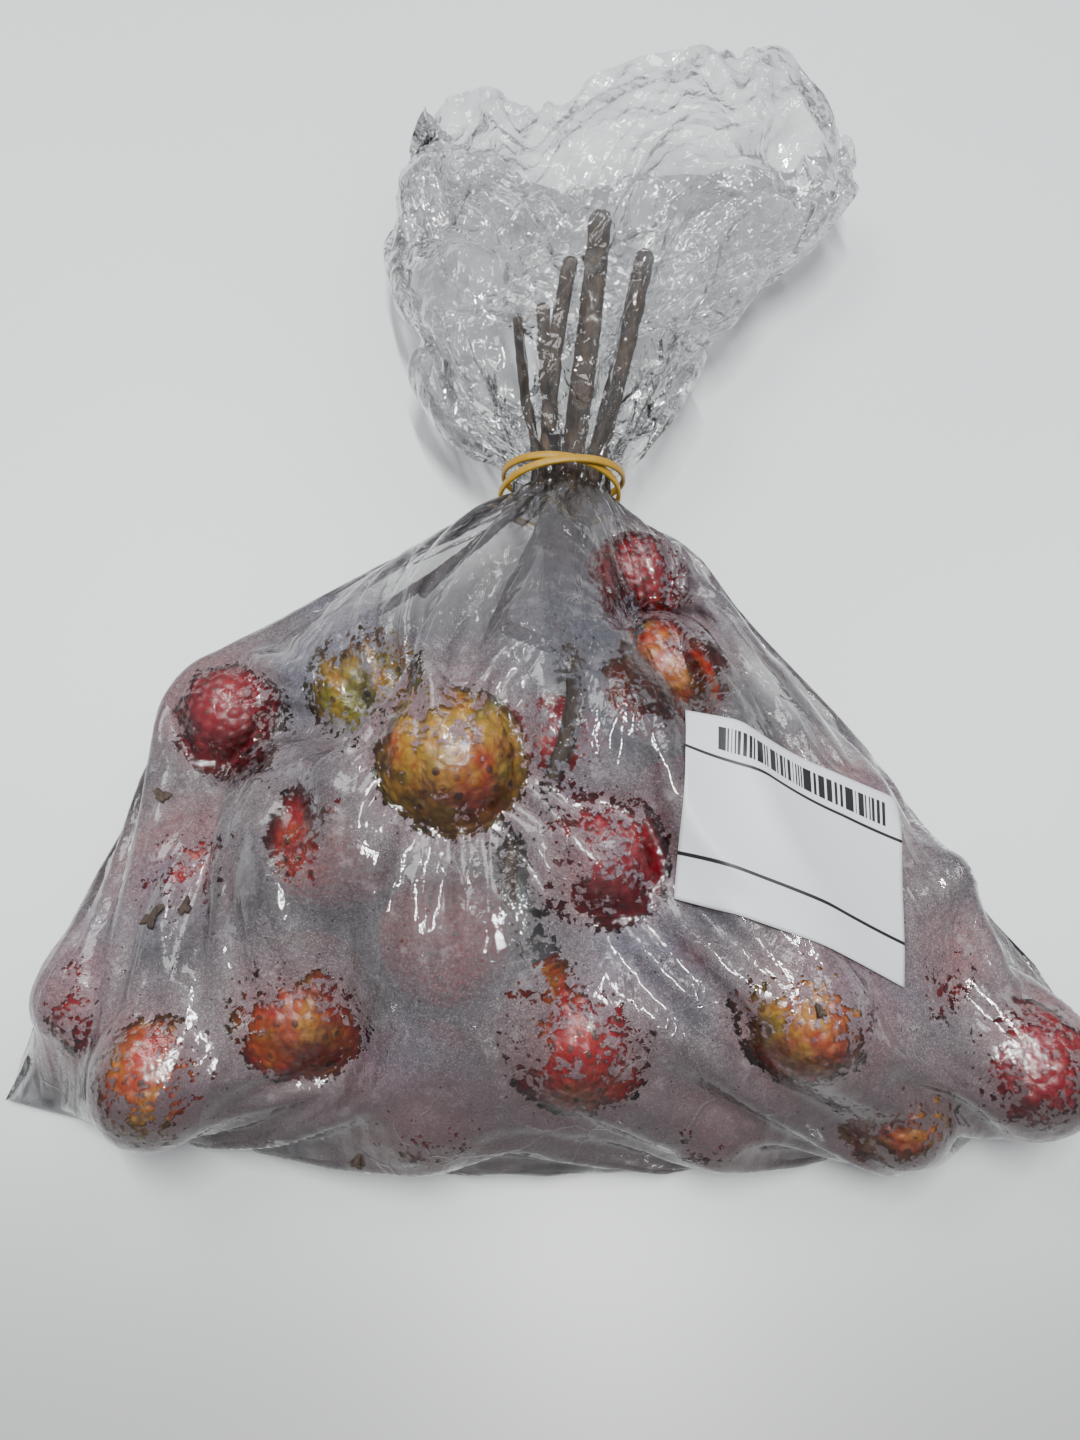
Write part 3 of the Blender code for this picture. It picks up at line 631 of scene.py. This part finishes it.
def wetness(points):
    """Over 0 inside a wet patch and under 0 outside, changing by 1 in about 6 mm."""
    sight = points - (np.array(camera.location) / MM - SHIFT)
    sight /= np.linalg.norm(sight, axis=1, keepdims=True)
    wet = np.full(len(points), DRY)
    for name, right, up, wide, high, turn in WET:
        away = points - np.array(FRUITS[name][0])
        across = away[:, 0] - right
        slope = away[:, 1] * math.sin(LOOK_DOWN) + away[:, 2] * math.cos(LOOK_DOWN) - up
        inside = oval(across, slope, wide, high, turn) * min(wide, high) / 6
        passing = np.linalg.norm(np.cross(away, sight), axis=1)
        behind = FRUITS[name][1] / 2 - 0.5 - passing
        patch = np.minimum(inside, np.minimum(behind / 2, behind * 1.2))
        wet = np.maximum(wet, np.where(away[:, 2] > 0, patch, DRY))
    return wet


print("wet patches", len(WET))

# %% Clear strips
# Strips between the fruit, where the dark inside shows: middle (x, y), half sizes and turn.
CLEAR = [
    (5, -32, 3.8, 15, -5), (-6, -66, 2.8, 11, 12), (3, -86, 2.8, 10, 28), (-30, -20, 2.0, 4, 0),
    (-72, -30, 2, 7, 20),
]


def clearness(points):
    """Over 0 inside a clear strip, on the upper side of the bag only."""
    clear = np.full(len(points), DRY)
    for x, y, wide, high, turn in CLEAR:
        across, along = points[:, 0] - x, points[:, 1] - y
        inside = oval(across, along, wide, high, turn) * 1.2
        clear = np.maximum(clear, np.where(points[:, 2] > 14, inside, DRY))
    return clear


print("clear strips", len(CLEAR))

# %% [markdown]
# A tight skin has no folds, but a gathered bag has film to spare. The sheet gets a little more
# width than it has room for, most near the neck, and settles: each stitch of the net keeps its
# length, the film sinks, clings where it is wet, and buckles into folds along the pull.

# %% Pulling stitches
SHEAR = 0.25  # how firmly a mesh of the net keeps its corners


def pull(a, b, rest, stiff, slack=False):
    """Moves both ends of stitches so that their lengths come to rest (only too short ones if slack)."""
    apart = b - a
    length = np.linalg.norm(apart, axis=-1, keepdims=True)
    change = (length - rest[..., None]) / np.maximum(length, 1e-6)
    if slack:
        change = np.minimum(change, 0)
    move = apart * (0.5 * stiff * change)
    a += move
    b -= move


def lengths(sheet):
    """The lengths of all stitches along the sheet and across it."""
    along = np.linalg.norm(sheet[1:] - sheet[:-1], axis=-1)
    across = np.linalg.norm(sheet[:, 1:] - sheet[:, :-1], axis=-1)
    return along, across


print("stitches in the tight film", sum(part.size for part in lengths(shape)))


# %% Letting a sheet settle
def settled(sheet, rest_along, rest_across, steps, held, cling, sink, bend, ring=False):
    """Small steps of a net: sink, pull every stitch to its length, push out, hold what is held.
    A ring's last column is the first one again."""
    sheet, before = sheet.copy(), sheet.copy()
    start = sheet.copy()
    diagonal = np.sqrt(rest_along[:, :-1] ** 2 + rest_across[:-1] ** 2)
    long2, wide2 = rest_along[:-1] + rest_along[1:], rest_across[:, :-1] + rest_across[:, 1:]
    for step in range(steps):
        if step % 15 == 0:
            support = Support(sheet)
        speed = (sheet - before) * 0.9
        before = sheet.copy()
        sheet = sheet + speed
        sheet[..., 2] -= sink
        for first in (0, 1):
            pull(sheet[first:-1:2], sheet[first + 1 :: 2], rest_along[first::2], 1.0)
            pull(sheet[:, first:-1:2], sheet[:, first + 1 :: 2], rest_across[:, first::2], 1.0)
        pull(sheet[:-1, :-1], sheet[1:, 1:], diagonal, SHEAR)
        pull(sheet[:-1, 1:], sheet[1:, :-1], diagonal, SHEAR)
        pull(sheet[:-2], sheet[2:], long2, bend, True)
        pull(sheet[:, :-2], sheet[:, 2:], wide2, bend, True)
        sheet = support.push(sheet, cling)
        sheet = sheet * (1 - held) + start * held
        if ring:
            sheet[:, 0] = sheet[:, -1] = (sheet[:, 0] + sheet[:, -1]) / 2
    return sheet


def ramp(count, steps):
    """0 at the first of a row of places, and 1 after some steps."""
    return np.minimum(1, np.arange(count) / steps)


TOP = COARSE_TOP * FINE
top = shape[:, : TOP + 1].copy()
to_neck = np.linalg.norm(top - NECK, axis=-1)
random = np.random.default_rng(7)
waves = [(random.uniform(-0.3, 0.3), random.uniform(-0.25, 0.25), random.uniform(0, 6.3)) for _ in range(14)]
bend_noise = sum(np.sin(top[..., 0] * a + top[..., 1] * b + start) for a, b, start in waves) / 5
from_side = ramp(TOP + 1, 8)
edge_fade = np.minimum(from_side, from_side[::-1])[None, :]
edge_fade = edge_fade * ramp(len(top), 8)[:, None] * ramp(len(top), 6)[::-1][:, None]
uneven = 1 + 0.7 * np.sin(np.arange(TOP + 1) * 0.11 + 1)[None, :]
pleat_fade = np.exp(-np.maximum(to_neck - 14, 0) / 44) * uneven
folds = np.cos(np.arange(TOP + 1) / FINE * math.pi / 2)[None, :]
top[..., 2] += edge_fade * (0.7 * bend_noise - 5.0 * pleat_fade * folds)
print("highest first fold", round(float(np.abs(top[..., 2] - shape[:, : TOP + 1, 2]).max()), 1), "mm")

# %% The upper film with width to spare
rest_along, rest_across = lengths(shape[:, : TOP + 1])
spare = 1.035 + 0.55 * np.exp(-to_neck / 50)  # a little everywhere, half as much again at the neck
rest_across = rest_across * spare[:, 1:]
rest_along = rest_along * 1.008
cling = 0.012 * np.clip(0.2 + 2 * wetness(top.reshape(-1, 3)), 0, 1)
held = np.zeros(top.shape[:2] + (1,))
held[0] = held[-1] = held[:, 0] = held[:, -1] = 1.0
held[1:3] = 0.3
steps = 260
top = settled(top, rest_along, rest_across, steps, held, cling, sink=0.001, bend=0.35)
covered = float((rest_along[:, 1:] * rest_across[1:]).sum())
print("settled; the upper film's stitches cover mm2", round(covered))

# %% [markdown]
# Past the band the mouth of the bag is a loose frill, crumpled all over. A net left to buckle by
# itself comes out as fine as hair, so the crumples are made first, as kinks along random lines, and
# a few steps of the net then ease them into one another.

# %% The frill's outline
FRILL_ROWS, NECK_ROWS = 66, 9
FRILL_LENGTH = 172.0
FRILL_START = 5.5  # from the neck's middle
# The frill's left and right edges and its length over the band, seen from above.
FRILL_EDGES = [
    (0, -14.5, 14.5), (10, -26, 26), (20, -34, 32), (32, -39, 36), (50, -45, 43), (70, -50, 53),
    (92, -53, 65), (106, -55, 80), (120, -57, 91), (140, -58, 99), (165, -57, 103), (190, -53, 100),
]
# How far the rim reaches past the frill's length, by its place across, in the upper and under layer.
RIM_UPPER = [
    (-50, -1), (-36, -3), (-13, -10), (-4, -20), (8, -14), (21, -8), (35, -2), (56, -3), (69, -16),
    (80, -12), (91, -10), (104, -28),
]
RIM_UNDER = [(-50, 6), (-36, -8), (-13, -4), (20, -22), (60, -14), (90, -12), (104, -18)]


def frill_rings():
    """The frill's rows, s of the way from band to rim: an oval tube that opens and tilts."""
    s = np.arange(1, FRILL_ROWS + 1) / FRILL_ROWS
    a = neck_angles(FINE)[None, :]
    length = s * FRILL_LENGTH
    edges = np.array(FRILL_EDGES, float)
    left, right = (np.interp(length, edges[:, 0], edges[:, k])[:, None] for k in (1, 2))
    s, length = s[:, None], length[:, None]
    half_height = NECK_HALF[1] + 12 * np.minimum(1, 2.8 * s) - 4 * s
    fold = pleats(FINE)[None, :] * (0.8 + 2.6 * np.minimum(1.0, 6 * s)) * np.clip(1.1 - 2.6 * s, 0.0, 1)
    swing = 0.12 * np.cos(5 * a + 1.1 + 1.3 * s) + 0.08 * np.cos(3 * a + 0.4)
    x = NECK[0] + (left + right) / 2 + ((right - left) / 2 + fold) * np.cos(a)
    z = NECK[2] - 2 * s + (half_height * (1 + 2.0 * s * swing) + fold) * np.sin(a)
    hump, dent = (np.exp(-(((a - at) / reach) ** 2)) for at, reach in ((0.95, 0.55), (1.9, 0.22)))
    z = z + s**0.8 * (17 * hump - 12 * dent)
    across = x[-1]
    rims = [np.interp(across, *np.array(rim).T) for rim in (RIM_UPPER, RIM_UNDER)]
    rim = np.where(np.sin(a[0]) > 0, rims[0], rims[1])
    y = NECK[1] + FRILL_START + length + s * s * rim[None, :]
    return np.stack([x, y, np.maximum(z, FLOOR_IN + 0.4)], axis=-1)


first = np.concatenate([neck_ring(FINE, FRILL_START)[None], frill_rings()])
print("frill reaches", round(float(first[..., 1].max() - NECK[1])), "mm past the band")

# %% Kinks in the frill
ROUND, ALONG = 400, 170  # mm, the sheet that the random lines are drawn on


def kinks(rows, columns, count, seed, reach_from, reach_to):
    """Heights of kinks along random lines of a sheet, each fading out to both sides."""
    random = np.random.default_rng(seed)
    u = np.arange(columns)[None, :] / columns * ROUND
    v = np.arange(rows)[:, None] / rows * ALONG
    total = np.zeros((rows, columns))
    for _ in range(count):
        cu, cv, turn = random.uniform(0, ROUND), random.uniform(0, ALONG), random.uniform(0, math.pi)
        du = (u - cu + ROUND / 2) % ROUND - ROUND / 2
        across = du * math.cos(turn) + (v - cv) * math.sin(turn)
        along = -du * math.sin(turn) + (v - cv) * math.cos(turn)
        reach, long = random.uniform(reach_from, reach_to), random.uniform(1.5, 2.5) * reach_to
        height = np.maximum(0, reach - np.abs(across)) * np.maximum(0, 1 - np.abs(along) / long)
        total += random.choice([-1, 1]) * height
    return total


MOST_BENT, BENT_SHARE = 24, 0.36
# Seventy long kinks shape the frill, and 260 short ones crumple it.
bent = kinks(*first.shape[:2], 70, 3, 10, 34) + 1.5 * kinks(*first.shape[:2], 260, 5, 4, 12)
bent = MOST_BENT * np.tanh(np.concatenate([bent, bent[:, :1]], axis=1) / MOST_BENT)
print("most bent", round(float(np.abs(bent).max()) * BENT_SHARE, 1), "mm")

# %% The frill
first = np.concatenate([first, first[:, :1]], axis=1)
swell = ramp(len(first), 16)[:, None]
out = np.gradient(first, axis=1)
out = np.stack([out[..., 2], np.zeros_like(out[..., 0]), -out[..., 0]], axis=-1)
out /= np.maximum(np.linalg.norm(out, axis=-1, keepdims=True), 1e-6)
first = first + out * (swell * bent * BENT_SHARE)[..., None]
rest_a, rest_c = lengths(first)
share = np.clip((np.arange(len(first)) / len(first) - 0.05) / 0.5, 0, 1)[:, None]
rest_c = rest_c * (1 + 0.03 * share)
rest_a = rest_a * 1.01
held_f = np.zeros(first.shape[:2] + (1,))
held_f[0] = 1.0
held_f[1:] = 0.02  # each step draws the frill back a little, so that it stays crumpled
frill = settled(first, rest_a, rest_c, 24, held_f, None, sink=0.01, bend=0.1, ring=True)[1:, :-1]
print("frill of", frill.shape[0], "x", frill.shape[1], "points")

# %% [markdown]
# Body, neck and frill are rows of one grid, and a grid made by bmesh is laid on them. Its first and
# last columns join up into the tube. Numbers kept on its points tell the finish where it is what.

# %% The whole bag
neck = np.stack([neck_ring(FINE, shift) for shift in np.linspace(-3.6, FRILL_START, NECK_ROWS)])
film_grid = shape.copy()
film_grid[:, : TOP + 1] = top
film_grid = np.concatenate([film_grid, neck, frill])
rows, columns = film_grid.shape[:2]

bm = bmesh.new()
bm.loops.layers.uv.new("sheet")
bmesh.ops.create_grid(bm, x_segments=columns, y_segments=rows - 1, size=0.5, calc_uvs=True)
bm.verts.ensure_lookup_table()
flat = np.array([v.co for v in bm.verts])
c = np.round((flat[:, 0] + 0.5) * columns).astype(int)
r = np.round((flat[:, 1] + 0.5) * (rows - 1)).astype(int)
for vert, row, column in zip(bm.verts, r, c % columns):
    vert.co = (film_grid[row, column] + SHIFT) * MM
seam = [v for v, column in zip(bm.verts, c) if column in (0, columns)]
bmesh.ops.remove_doubles(bm, verts=seam, dist=1e-7)
bmesh.ops.recalc_face_normals(bm, faces=bm.faces[:])
bag = piece(bm, "film")
print("film", rows, "x", columns, "faces", len(bag.data.polygons))

# %% What the finish knows at each point of the film
points = np.array([v.co for v in bag.data.vertices]) / MM - SHIFT
edge_line = np.concatenate([film_grid[:, 0], film_grid[:, TOP], film_grid[0, : TOP + 1]])
edge_tree = tree_of(edge_line)
to_edge = np.array([edge_tree.find(point)[2] for point in points])
gap = Support(points[:, None, :]).gaps(points[:, None, :])[:, 0]
wet = np.maximum(wetness(points) - np.clip((gap - 13) / 3, 0, 3), clearness(points))
to_neck = np.linalg.norm(points - NECK, axis=1)
# The fog thins far from the fruit, towards the neck and along the side folds, and ends at the band.
haze = 1 - 0.4 * np.clip((gap - 9) / 7, 0, 1)
haze *= 0.93 + 0.07 * np.clip((to_neck - 18) / 60, 0, 1)
haze *= 0.25 + 0.75 * np.clip((to_edge - 4) / 11, 0, 1)
haze[points[:, 1] > NECK[1] - 8] = 0
from_stalks = np.hypot((points[:, 0] - 14) / 30, np.maximum(points[:, 1] - NECK[1] - 30, 0) / 80)
mouth = np.where(points[:, 1] > NECK[1] + 5, np.clip((from_stalks - 0.75) / 0.6, 0, 1), 0)
set_attribute(bag.data, "wet", wet)  # over 0 where it is clear
set_attribute(bag.data, "haze", haze)  # how thick the fog is
# Painted shade that darkens the fog over the seal, at the front of the bag.
set_attribute(bag.data, "front", 0.75 * np.clip((-98 - points[:, 1]) / 16, 0, 1))  # darker over the seal
# Painted shade in the gathered folds round the band.
set_attribute(bag.data, "tied", 0.85 * np.exp(-((to_neck / 52) ** 2)))  # dark folds near the band
set_attribute(bag.data, "blush", np.exp(-np.maximum(gap - 1, 0) / 5.5))  # red skin that shines through
set_attribute(bag.data, "frill", np.clip((points[:, 1] - NECK[1] + 6) / 10, 0, 1))  # past the band
set_attribute(bag.data, "mouth", mouth)  # past the band and off the stalks
low = int(np.argmin(gap))
print("least gap", round(float(gap[low]), 2), "mm at", points[low].round())

# %% The bag in the shared frame
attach(bag, "root")
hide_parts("bag")

# %% [markdown]
# The film is clear where it lies wet on a fruit and grey where damp has fogged its inside. The
# wetness kept on its points, roughened by noise, draws the ragged edge between the two, and cells
# leave round clear drops of many sizes in the fog.

# %% Fog and drops
film = Finish("film")
ragged = (film.noise(150.0, 4.0, 0.6) - 0.5) * 5.5 + (film.noise(620.0, 3.0, 0.65) - 0.5) * 5.0
bead = film.cells(620.0)
pick = Signal(film, bead.socket.node.outputs["Color"])
wet = film.attribute("wet") + ragged + (pick - 0.5) * 1.8
dry = (wet * -1).rise(-0.08, 0.08)
close_by = film.attribute("wet").rise(-2.2, -0.1)
drops = (bead - (pick * 0.55 - 0.34 + 0.24 * close_by)).rise(0.06, -0.02)
grains = film.noise(2400.0, 2.0, 0.7)
mist = dry * film.attribute("haze") * (1 - 0.85 * drops) * (0.70 + 0.2 * film.noise(30.0, 2.0) + 0.2 * grains)
print("fog is built from", len(film.tree.nodes), "nodes")

# %% [markdown]
# Film that was stretched and crushed keeps straight creases and flat facets between them. Cells
# meet in straight lines too, so stretched Voronoi cells give the long creases, and the height of
# Manhattan cells, small pyramids, gives the facets. They are too fine for the grid: they are bump.

# %% Creases and crumples
sheet_uv = film.node("ShaderNodeUVMap", {"uv_map": "sheet"})
wave = film.node("ShaderNodeTexNoise", None, {"Vector": film.place(), "Scale": 35.0, "Detail": 3.0}, 1)
wave = film.node("ShaderNodeVectorMath", {"operation": "SCALE"}, {0: wave, "Scale": 0.06})
bent_uv = film.node("ShaderNodeVectorMath", {"operation": "ADD"}, {0: sheet_uv, 1: wave})
stretched = film.mapped(bent_uv, (34.0, 9.0, 1.0))
slanted = film.mapped(bent_uv, (22.0, 16.0, 1.0), (0, 0, 0.7))


def edges(at, scale, width):
    """Lines along which cells meet."""
    return film.cells(scale, at, feature="DISTANCE_TO_EDGE").rise(width, 0.0)


def facets(scale, at=None):
    """Heights of pyramids that meet in straight creases, as in crumpled film."""
    turned = film.mapped(at or film.place(), turn=(0.5, 0.4, 0.6))
    return film.cells(scale, turned, distance="MANHATTAN")


crease = edges(stretched, 1.0, 0.016) * film.noise(22.0, 2.0).rise(0.5, 0.6)
crease = crease + edges(slanted, 1.0, 0.014) * film.noise(17.0, 2.0).rise(0.52, 0.6)
fold = edges(stretched, 1.6, 0.3)
fine = film.noise(520.0, 3.0, 0.6) * (0.6 + 1.6 * (1 - dry)) + film.noise(120.0, 2.0) * 1.6
fine = fine + fold * 0.9 + crease * 0.7
blush, past_band, mouth = film.attribute("blush"), film.attribute("frill"), film.attribute("mouth")
long_facets = film.mapped(sheet_uv, (16.0, 5.0, 1.0))
crumple = facets(60.0) * 18.0 + facets(150.0) * 8.0
sweep = facets(1.0, long_facets) * 16.0 + facets(2.3, long_facets) * 6.0
normal = film.bump(fine + crumple * (0.12 + 0.9 * past_band) + sweep, 0.35, 0.0005)
print("with creases,", len(film.tree.nodes), "nodes")

# %% [markdown]
# Fog takes a little red from the fruit behind it and is mottled in greys of every size; painted shade
# darkens it over the seal and round the band. It is one rough grey skin, mixed with clear film by how
# thick it is, under a gloss that Fresnel gives.

# %% Film finish
VEILS = [
    (film.noise(24.0, 2.0).rise(0.45, 0.75) * 0.5, (74, 86, 108)),
    (film.noise(800.0, 3.0, 0.7).rise(0.44, 0.60) * 0.5, (50, 40, 43)),
    (grains.rise(0.5, 0.7) * 0.55, (150, 142, 146)),
    (film.noise(230.0, 4.0, 0.7).rise(0.52, 0.66) * 0.45, (62, 56, 60)),
    (film.noise(140.0, 4.0, 0.7).rise(0.56, 0.7) * 0.4, (158, 152, 156)),
    # painted shade over the seal, at the front of the bag
    (film.attribute("front"), (52, 40, 42)),
    # painted shade in the gathered folds round the band
    (film.attribute("tied"), (46, 47, 51)),
    (past_band, (150, 154, 156)),
]
fog_colour = film.blend(blush * 0.9, colour(78, 78, 81), colour(112, 72, 74))
for share, tone in VEILS:
    fog_colour = film.blend(share, fog_colour, colour(*tone))
clear = film.node("ShaderNodeBsdfTransparent")
fog = film.shade(Base_Color=fog_colour, Roughness=0.6, Normal=normal)
gloss = film.node("ShaderNodeBsdfGlossy", None, {"Roughness": 0.05, "Normal": normal})
fresnel = film.node("ShaderNodeFresnel", None, {"IOR": 1.5, "Normal": normal})
dull_mouth = mouth * (0.12 + 0.42 * film.noise(45.0, 4.0).rise(0.35, 0.7))
veiled = film.over(mist + crease * 0.1 + dull_mouth + past_band * 0.03, clear, fog)
film.close(film.over(fresnel * (1.25 + 1.3 * mouth), veiled, gloss))
bag.data.materials.append(film.material)
print("film has", len(film.tree.nodes), "nodes")

# %% [markdown]
# A few dry brown scraps of leaf and peel cling to the film. Each is a small ball pressed flat, with
# a ragged outline and a bow of sines, laid just on the outside of the film.

# %% Scraps of leaf
# Place (x, y), half length in mm before it is made ragged, and turn.
SCRAPS = [
    (-94.5, -72, 3.4, 0.4), (-87, -69, 2.4, 1.6), (-98.5, -38, 2.6, 2.7), (-44, -126, 2.2, 0.9),
    (62, -97, 1.6, 2.0),
]
SCRAP_THICK = 0.35


def bag_surface():
    """The film as a tree that answers what a ray from above meets first."""
    sheet = bmesh.new()
    sheet.from_mesh(bag.data)
    tree = BVHTree.FromBMesh(sheet)
    sheet.free()
    return tree


over = bag_surface()
bm = bmesh.new()
for x, y, size, turn in SCRAPS:
    hit = over.ray_cast(Vector((*((np.array((x, y)) + SHIFT[:2]) * MM), 0.2)), Vector((0, 0, -1)))
    flake = bmesh.ops.create_icosphere(bm, subdivisions=3, radius=1.0)["verts"]
    tilt = Vector((0, 0, 1)).rotation_difference(hit[1]) @ Quaternion((0, 0, 1), turn)
    for vert in flake:
        p = vert.co.copy()
        ragged = 1 + 0.35 * math.sin(3 * math.atan2(p.y, p.x) + turn) + 0.2 * math.sin(7 * p.x + 5 * p.y)
        height = p.z * SCRAP_THICK + SCRAP_THICK * math.sin(2.2 * p.x + turn)
        p = Vector((p.x * size * ragged, p.y * size * 0.6 * ragged, height))
        vert.co = hit[0] + tilt @ ((p + Vector((0, 0, 0.3))) * MM)
scraps = piece(bm, "leaf_scraps")
scraps.data.materials.append(bark.material)
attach(scraps, "root")
print("scraps", len(SCRAPS))

# %% [markdown]
# A thin ochre rubber band is wound twice round the neck: its strands cross at the top right and lie
# furthest apart opposite. A curve with a bevel could do, but a grid bent into a closed tube lets the
# section be flat with round corners, and lets one strand pass over the other.

# %% Rubber band
BAND_WIDTH, BAND_THICK = 2.6, 1.3
BAND_SPREAD = 5.3
CORNER = 0.6  # below 1 the oval section gets squarer
NECK_WALL, BAND_CLEAR = 0.6, 1.0
PASS = 0.9  # how far a strand moves in and out to pass the other


def rubber_band():
    count, sides, cross = 192, 12, math.radians(62)
    bm = bmesh.new()
    bmesh.ops.create_grid(bm, x_segments=count, y_segments=sides, size=0.5)
    for vert in bm.verts:
        t = 4 * math.pi * (vert.co.x + 0.5)
        a = 2 * math.pi * (vert.co.y + 0.5)
        swing, level = math.sin((t - cross) / 2), math.cos((t - cross) / 2)
        out = PLEAT_DEPTH + NECK_WALL + BAND_CLEAR + BAND_THICK / 2 + PASS + PASS * level
        wide = BAND_WIDTH / 2 * math.copysign(abs(math.cos(a)) ** CORNER, math.cos(a))
        tall = BAND_THICK / 2 * math.copysign(abs(math.sin(a)) ** CORNER, math.sin(a))
        r = NECK_HALF + out + tall
        x = NECK[0] + r[0] * math.cos(t) + SHIFT[0]
        y = NECK[1] - BAND_SPREAD * swing + wide + SHIFT[1]
        vert.co = Vector((x, y, NECK[2] + r[1] * math.sin(t))) * MM
    bmesh.ops.remove_doubles(bm, verts=bm.verts[:], dist=1e-6)
    bmesh.ops.recalc_face_normals(bm, faces=bm.faces[:])
    made = piece(bm, "band")
    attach(made, "root")
    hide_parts("rubber_band")
    return made


band = rubber_band()
rubber = Finish("rubber")
mottle = rubber.noise(500.0, 3.0)
rubber.close(rubber.shade(
    Base_Color=rubber.blend(mottle, colour(128, 96, 6), colour(170, 132, 24)), Roughness=0.38 + 0.2 * mottle,
    Normal=rubber.bump(mottle, 0.3, 0.0003)))
band.data.materials.append(rubber.material)
print("band", len(band.data.polygons), "faces")

# %% [markdown]
# The sticker is a sheet of white paper pressed on the film, printed with plain bars and rules. It
# lies on the bumps and bridges the hollows: its heights start on the film and are smoothed, but
# never sink below it.

# %% Sticker
LABEL = (57.0, 46.0)
LABEL_MIDDLE, LABEL_TURN, LABEL_SKEW = np.array((60.5, -57)), math.radians(-19), 0.10
LABEL_LIFT = 0.35


def sticker():
    columns, rows = 60, 52
    bm = bmesh.new()
    bmesh.ops.create_grid(bm, x_segments=columns, y_segments=rows, size=0.5)
    flat = np.array([v.co for v in bm.verts])
    u, v = flat[:, 0] * LABEL[0], flat[:, 1] * LABEL[1]
    x = LABEL_MIDDLE[0] + u * math.cos(LABEL_TURN) + v * LABEL_SKEW + SHIFT[0]
    y = LABEL_MIDDLE[1] + u * math.sin(LABEL_TURN) + v + SHIFT[1]
    down = Vector((0, 0, -1))
    hit = [over.ray_cast(Vector((a * MM, b * MM, 0.2)), down)[0].z / MM for a, b in zip(x, y)]
    order = np.lexsort((flat[:, 0], flat[:, 1]))
    height = np.array(hit)[order].reshape(rows + 1, columns + 1)
    floor = height.copy()
    for _ in range(160):
        edge = np.pad(height, 1, mode="reflect", reflect_type="odd")
        mean = (edge[:-2, 1:-1] + edge[2:, 1:-1] + edge[1:-1, :-2] + edge[1:-1, 2:]) / 4
        height = np.maximum(floor, mean)
    z = np.empty(len(flat))
    z[order] = height.ravel() + LABEL_LIFT
    for vert, a, b, c in zip(bm.verts, x, y, z):
        vert.co = Vector((a, b, c)) * MM
    bmesh.ops.recalc_face_normals(bm, faces=bm.faces[:])
    made = piece(bm, "sticker")
    set_attribute(made.data, "u", u / LABEL[0] + 0.5)
    set_attribute(made.data, "v", v / LABEL[1] + 0.5)
    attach(made, "root")
    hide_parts("label")
    return made


label = sticker()
print("sticker", len(label.data.polygons), "faces")

# %% Sticker finish
paper = Finish("sticker_paper")
u, v = paper.attribute("u"), paper.attribute("v")
bars = paper.noise(1.0, 0.0, 0.5, paper.node("ShaderNodeCombineXYZ", None, {0: u * 80.0})).rise(0.47, 0.5)
block = u.rise(0.14, 0.145) * u.rise(0.93, 0.925) * v.rise(0.80, 0.805) * v.rise(0.94, 0.935)


def rule(at):
    return v.rise(at - 0.012, at - 0.006) * v.rise(at + 0.012, at + 0.006)


ink = (bars * block + rule(0.755) + rule(0.215)).rise(0.1, 0.9)
fibre = paper.noise(1800.0, 2.0)
paper.close(paper.shade(
    Base_Color=paper.blend(ink, colour(196, 200, 203), colour(12, 12, 13)), Roughness=0.42 + 0.1 * fibre,
    Normal=paper.bump(fibre, 0.1, 0.0002)))
label.data.materials.append(paper.material)
wall = label.modifiers.new("paper", "SOLIDIFY")
wall.thickness, wall.offset = 0.00025, 1.0
print("sticker has", len(paper.tree.nodes), "nodes")

# %% [markdown]
# The bag lies on a pale, slightly glossy table top, with painted shade that darkens it towards us.

# %% Table
bm = bmesh.new()
bmesh.ops.create_grid(bm, x_segments=4, y_segments=4, size=1.6)
table = piece(bm, "table", False)
for vert in table.data.vertices:
    vert.co.z -= 0.0002
top_finish = Finish("table_top")
cloudy = top_finish.noise(3.0, 2.0)
place = top_finish.node("ShaderNodeSeparateXYZ", None, {0: top_finish.place()}, 1)
# Painted shade that darkens the table top towards us.
painted_shade_near_us = (place + 0.05 * cloudy).rise(-0.10, -0.24)
pale = top_finish.blend(cloudy, colour(206, 209, 210), colour(218, 220, 220))
top_finish.close(top_finish.shade(
    Base_Color=top_finish.blend(painted_shade_near_us, pale, colour(160, 162, 160)), Roughness=0.32 + 0.06 * cloudy))
table.data.materials.append(top_finish.material)
print("table has", len(top_finish.tree.nodes), "nodes")

# %% [markdown]
# An even grey room and a wide panel behind on the left light everything softly. Film shows itself
# by its sparks, so a narrow bright strip overhead gives it small crisp ones, and a weak strip
# behind on the right gives the far sides a few.

# %% Light
LAMPS_AIM = Vector((0, 0, 0.02))


def panel(name, place, size, power):
    lamp = bpy.data.lights.new(name, "AREA")
    lamp.shape, lamp.size, lamp.size_y, lamp.energy = "RECTANGLE", size[0], size[1], power
    made = bpy.data.objects.new(name, lamp)
    made.location = place
    made.rotation_euler = (LAMPS_AIM - Vector(place)).to_track_quat("-Z", "Y").to_euler()
    bpy.context.scene.collection.objects.link(made)
    return made


world = bpy.data.worlds.new("room")
world.use_nodes = True
world.node_tree.nodes["Background"].inputs["Color"].default_value = (0.92, 0.95, 1.0, 1.0)
world.node_tree.nodes["Background"].inputs["Strength"].default_value = 0.55
bpy.context.scene.world = world
lamps = [
    panel("ceiling", (-0.55, 0.55, 1.2), (0.6, 0.6), 9.0),
    panel("strip", (0.03, -0.10, 1.3), (0.04, 0.7), 24.0),
    panel("side", (0.7, 0.5, 1.1), (0.10, 0.7), 3.0),
]
print("lit by", len(lamps), "panels and the room")
